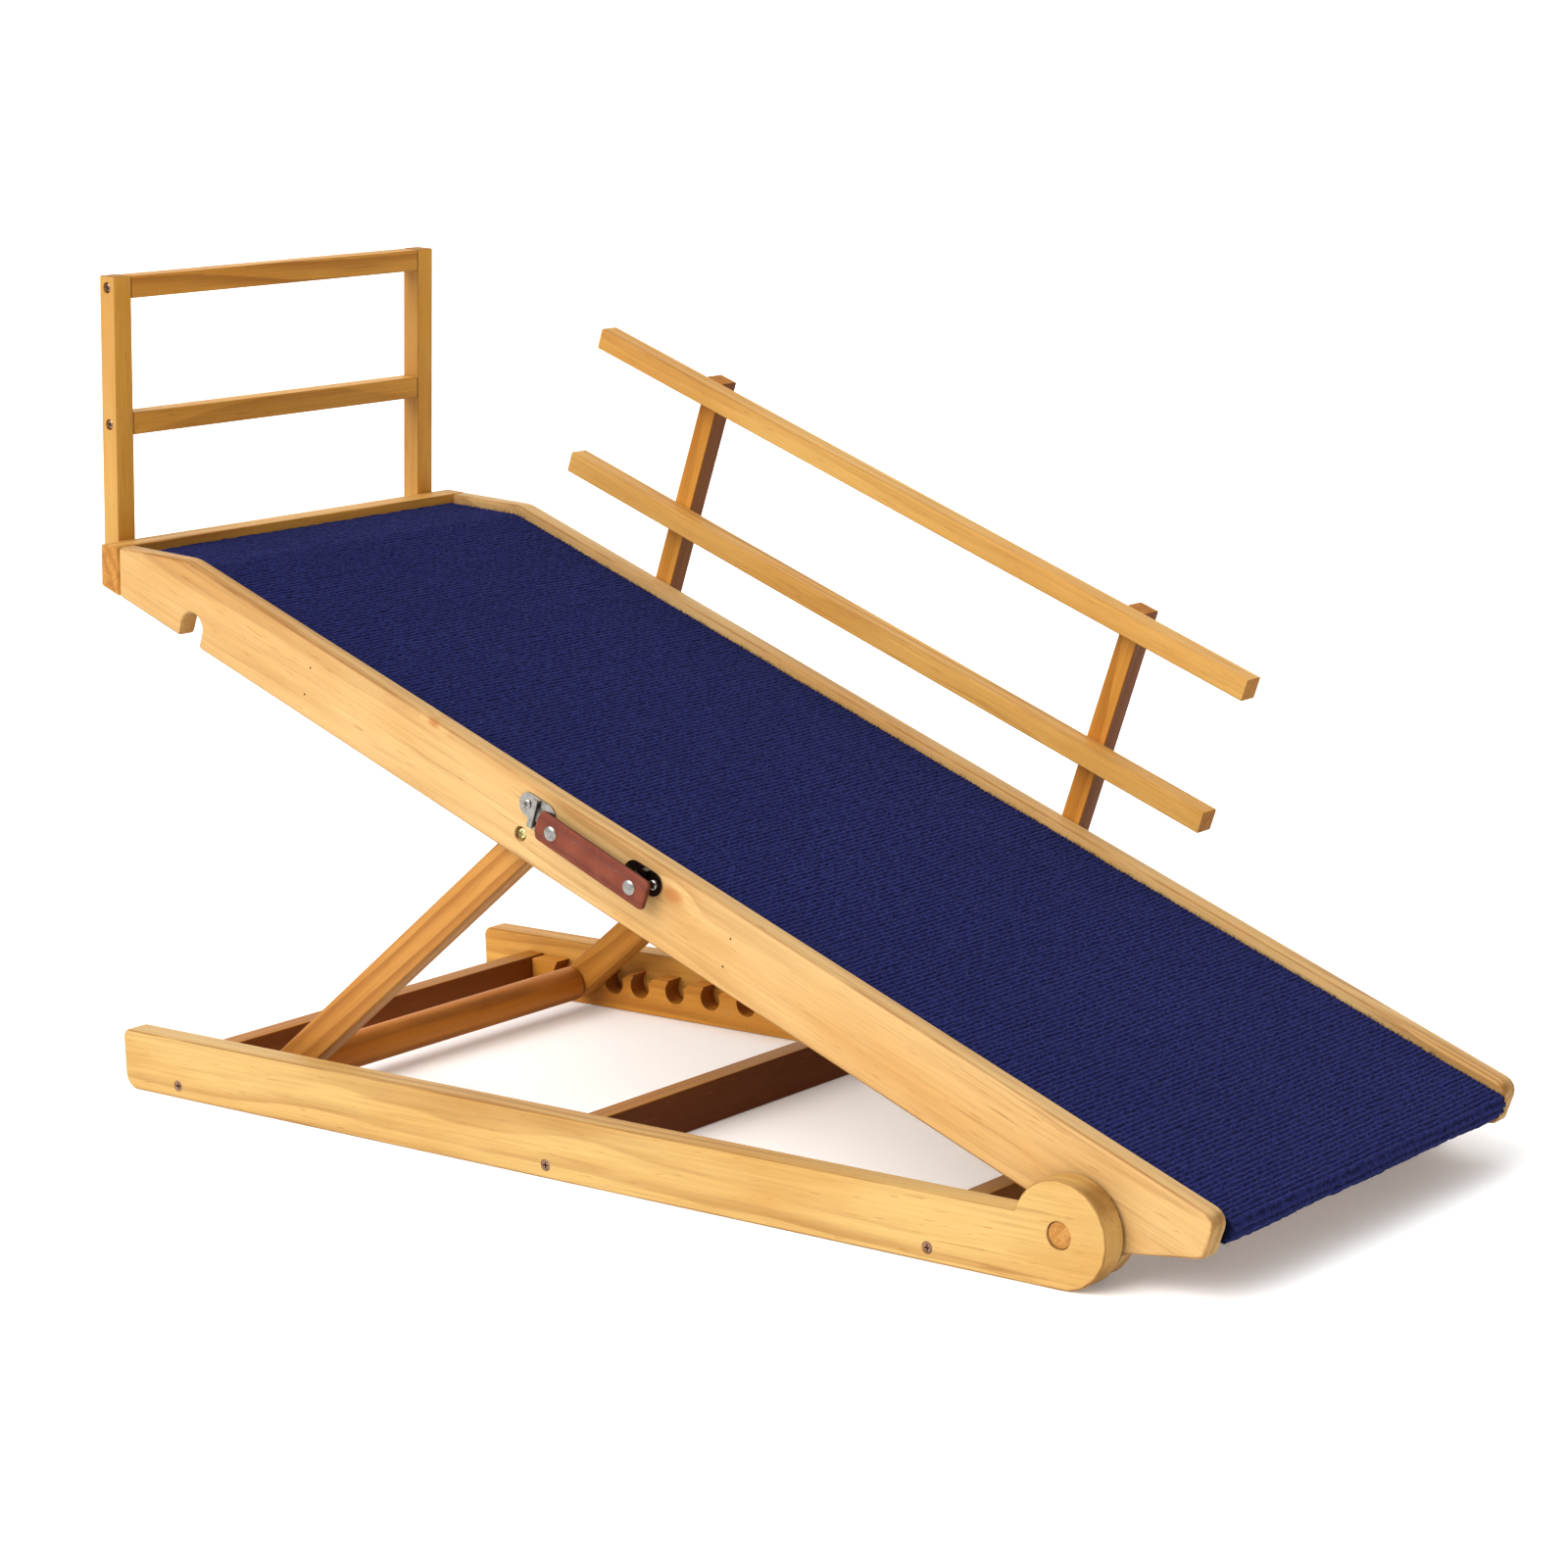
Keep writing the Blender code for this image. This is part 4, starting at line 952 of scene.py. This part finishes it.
def brad(place, out):
    """A small domed nail head on a short shank: (points, faces)."""
    side = out.orthogonal().normalized()
    points, faces = [], []
    for r, h in BRAD_PROFILE:
        for k in range(BRAD_TURNS):
            spoke = turned(side, out, k / BRAD_TURNS)
            points.append(place + spoke * (r * BRAD_RADIUS) + out * (h * BRAD_RADIUS))
    points += [place + out * (h * BRAD_RADIUS) for h in (BRAD_TOP, BRAD_POINT)]
    last = (len(BRAD_PROFILE) - 1) * BRAD_TURNS
    for start in range(0, last, BRAD_TURNS):
        for k in range(BRAD_TURNS):
            a, b = start + k, start + (k + 1) % BRAD_TURNS
            faces.append((a, b, b + BRAD_TURNS, a + BRAD_TURNS))
    for k in range(BRAD_TURNS):
        faces.append((k, len(points) - 2, (k + 1) % BRAD_TURNS))
        faces.append((last + k, last + (k + 1) % BRAD_TURNS, len(points) - 1))
    return points, faces


def build_brads(node, out):
    """Brad heads on a rack's inner face, at BRAD_SPOTS."""
    low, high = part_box(node)
    face_y = low.y if out.y < 0 else high.y
    points, faces = gathered(brad(Vector((low.x + along, face_y, up)), out) for along, up in BRAD_SPOTS)
    return mesh_piece(node + "_Brads", points, faces)


for node, out in (("Notch_Rack_Far", -Y), ("Notch_Rack_Near", Y)):
    brads = build_brads(node, out)
    dress(brads, nickel)
    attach(brads, "base")


# ---------------------------------------------------------------- floor, light, camera
WHITE = (1.0, 1.0, 1.0, 1.0)
SKY_DIM = 0.12
SKY_BRIGHT = 1.45
SKY_BRIGHTEST = Vector((-0.36, -0.52, 0.78))
SKY_DIMMEST = -0.3              # the sky is dimmest at and below this cosine from its brightest point
KEY_STRENGTH = 2.3
KEY_FROM = Vector((-0.16, -0.74, 0.65))
KEY_SPREAD = math.radians(50)
FLOOR_GLOW = 0.20
SWEEP_FRONT = -12.0             # the floor runs from here
SWEEP_START = 6.0               # to here, away from the camera, and then curves up
SWEEP_RADIUS = 3.0
SWEEP_TOP = 9.0                 # the height of the wall's top
SWEEP_SIDE = 14.0               # half its width
SWEEP_STEPS = 16
AZIMUTH, ELEVATION, ROLL = math.radians(40.01), math.radians(10.97), math.radians(-2.0)
AIM = Vector((0.0160, 0.0, 0.2393))
DISTANCE = 2.660
FOCAL_LENGTH, SENSOR = 89.01, 36.0          # in millimetres
CONTRAST = 0.88                 # view gamma: deepens the shaded wood, as the photo's does


def white_sweep():
    """A floor that curves up into a wall well behind the object, seen from the camera."""
    away = Vector((-math.sin(AZIMUTH), math.cos(AZIMUTH), 0))
    side = Vector((math.cos(AZIMUTH), math.sin(AZIMUTH), 0))
    profile = [(SWEEP_FRONT, 0.0), (SWEEP_START, 0.0)]
    for i in range(1, SWEEP_STEPS + 1):
        t = math.radians(90 * i / SWEEP_STEPS)
        profile.append((SWEEP_START + SWEEP_RADIUS * math.sin(t), SWEEP_RADIUS * (1 - math.cos(t))))
    profile.append((profile[-1][0], SWEEP_TOP))
    points = [away * along + Z * up + side * across
              for along, up in profile for across in (-SWEEP_SIDE, SWEEP_SIDE)]
    faces = [(2 * i, 2 * i + 1, 2 * i + 3, 2 * i + 2) for i in range(len(profile) - 1)]
    data = bpy.data.meshes.new("Studio_Floor")
    data.from_pydata([tuple(p) for p in points], [], faces)
    data.polygons.foreach_set("use_smooth", [True] * len(data.polygons))
    return placed("Studio_Floor", data)


def sky():
    """A sky that is brightest at the front left. The camera itself sees it as white, like the sweep."""
    world = bpy.data.worlds.new("Studio")
    world.use_nodes = True
    tree = world.node_tree
    make, link = tree.nodes.new, tree.links.new
    glow = tree.nodes["Background"]
    where = make("ShaderNodeTexCoord")
    towards = make("ShaderNodeVectorMath")
    towards.operation = "DOT_PRODUCT"
    towards.inputs[1].default_value = SKY_BRIGHTEST.normalized()
    spread = make("ShaderNodeMapRange")
    spread.inputs["From Min"].default_value = SKY_DIMMEST
    spread.inputs["From Max"].default_value = 1.0
    spread.inputs["To Min"].default_value = SKY_DIM
    spread.inputs["To Max"].default_value = SKY_BRIGHT
    link(where.outputs["Generated"], towards.inputs[0])
    link(towards.outputs["Value"], spread.inputs["Value"])
    link(spread.outputs["Result"], glow.inputs["Strength"])
    glow.inputs["Color"].default_value = WHITE
    backdrop = make("ShaderNodeBackground")
    backdrop.inputs["Strength"].default_value = 1.0
    backdrop.inputs["Color"].default_value = WHITE
    seen = make("ShaderNodeLightPath")
    choice = make("ShaderNodeMixShader")
    link(seen.outputs["Is Camera Ray"], choice.inputs[0])
    link(glow.outputs[0], choice.inputs[1])
    link(backdrop.outputs[0], choice.inputs[2])
    link(choice.outputs[0], tree.nodes["World Output"].inputs["Surface"])
    return world


def studio():
    """A white sweep under one broad soft light from the front left, with a dimmer sky elsewhere."""
    floor = white_sweep()
    g = Graph("Studio_White")
    grit = g.noise(g.stretch(g.coords.outputs["Object"], (3, 3, 3)), 2.0)
    g.set(Base_Color=g.mix(grit, (0.885, 0.875, 0.870), (0.895, 0.885, 0.880)), Roughness=0.9)
    g.set(Specular_IOR_Level=0.1, Emission_Color=(0.90, 0.95, 1.0), Emission_Strength=FLOOR_GLOW)
    dress(floor, g.material)
    bpy.context.scene.world = sky()
    sun = bpy.data.lights.new("Key", "SUN")
    sun.energy = KEY_STRENGTH
    sun.angle = KEY_SPREAD
    placed("Key", sun).rotation_euler = KEY_FROM.to_track_quat("Z", "Y").to_euler()
    bpy.context.scene.view_settings.view_transform = "Standard"
    bpy.context.scene.view_settings.gamma = CONTRAST


def camera():
    """Three-quarter view from the low end's near side, a little above the deck."""
    back = Vector((math.sin(AZIMUTH) * math.cos(ELEVATION), -math.cos(AZIMUTH) * math.cos(ELEVATION),
                   math.sin(ELEVATION)))
    level = Vector((math.cos(AZIMUTH), math.sin(AZIMUTH), 0))
    right = level * math.cos(ROLL) + back.cross(level) * math.sin(ROLL)
    up = back.cross(right)
    data = bpy.data.cameras.new("Camera")
    data.sensor_width = SENSOR
    data.lens = FOCAL_LENGTH
    made = placed("Camera", data)
    turn = Matrix((right, up, back)).transposed().to_4x4()
    made.matrix_world = Matrix.Translation(AIM + back * DISTANCE) @ turn
    bpy.context.scene.camera = made


studio()
camera()
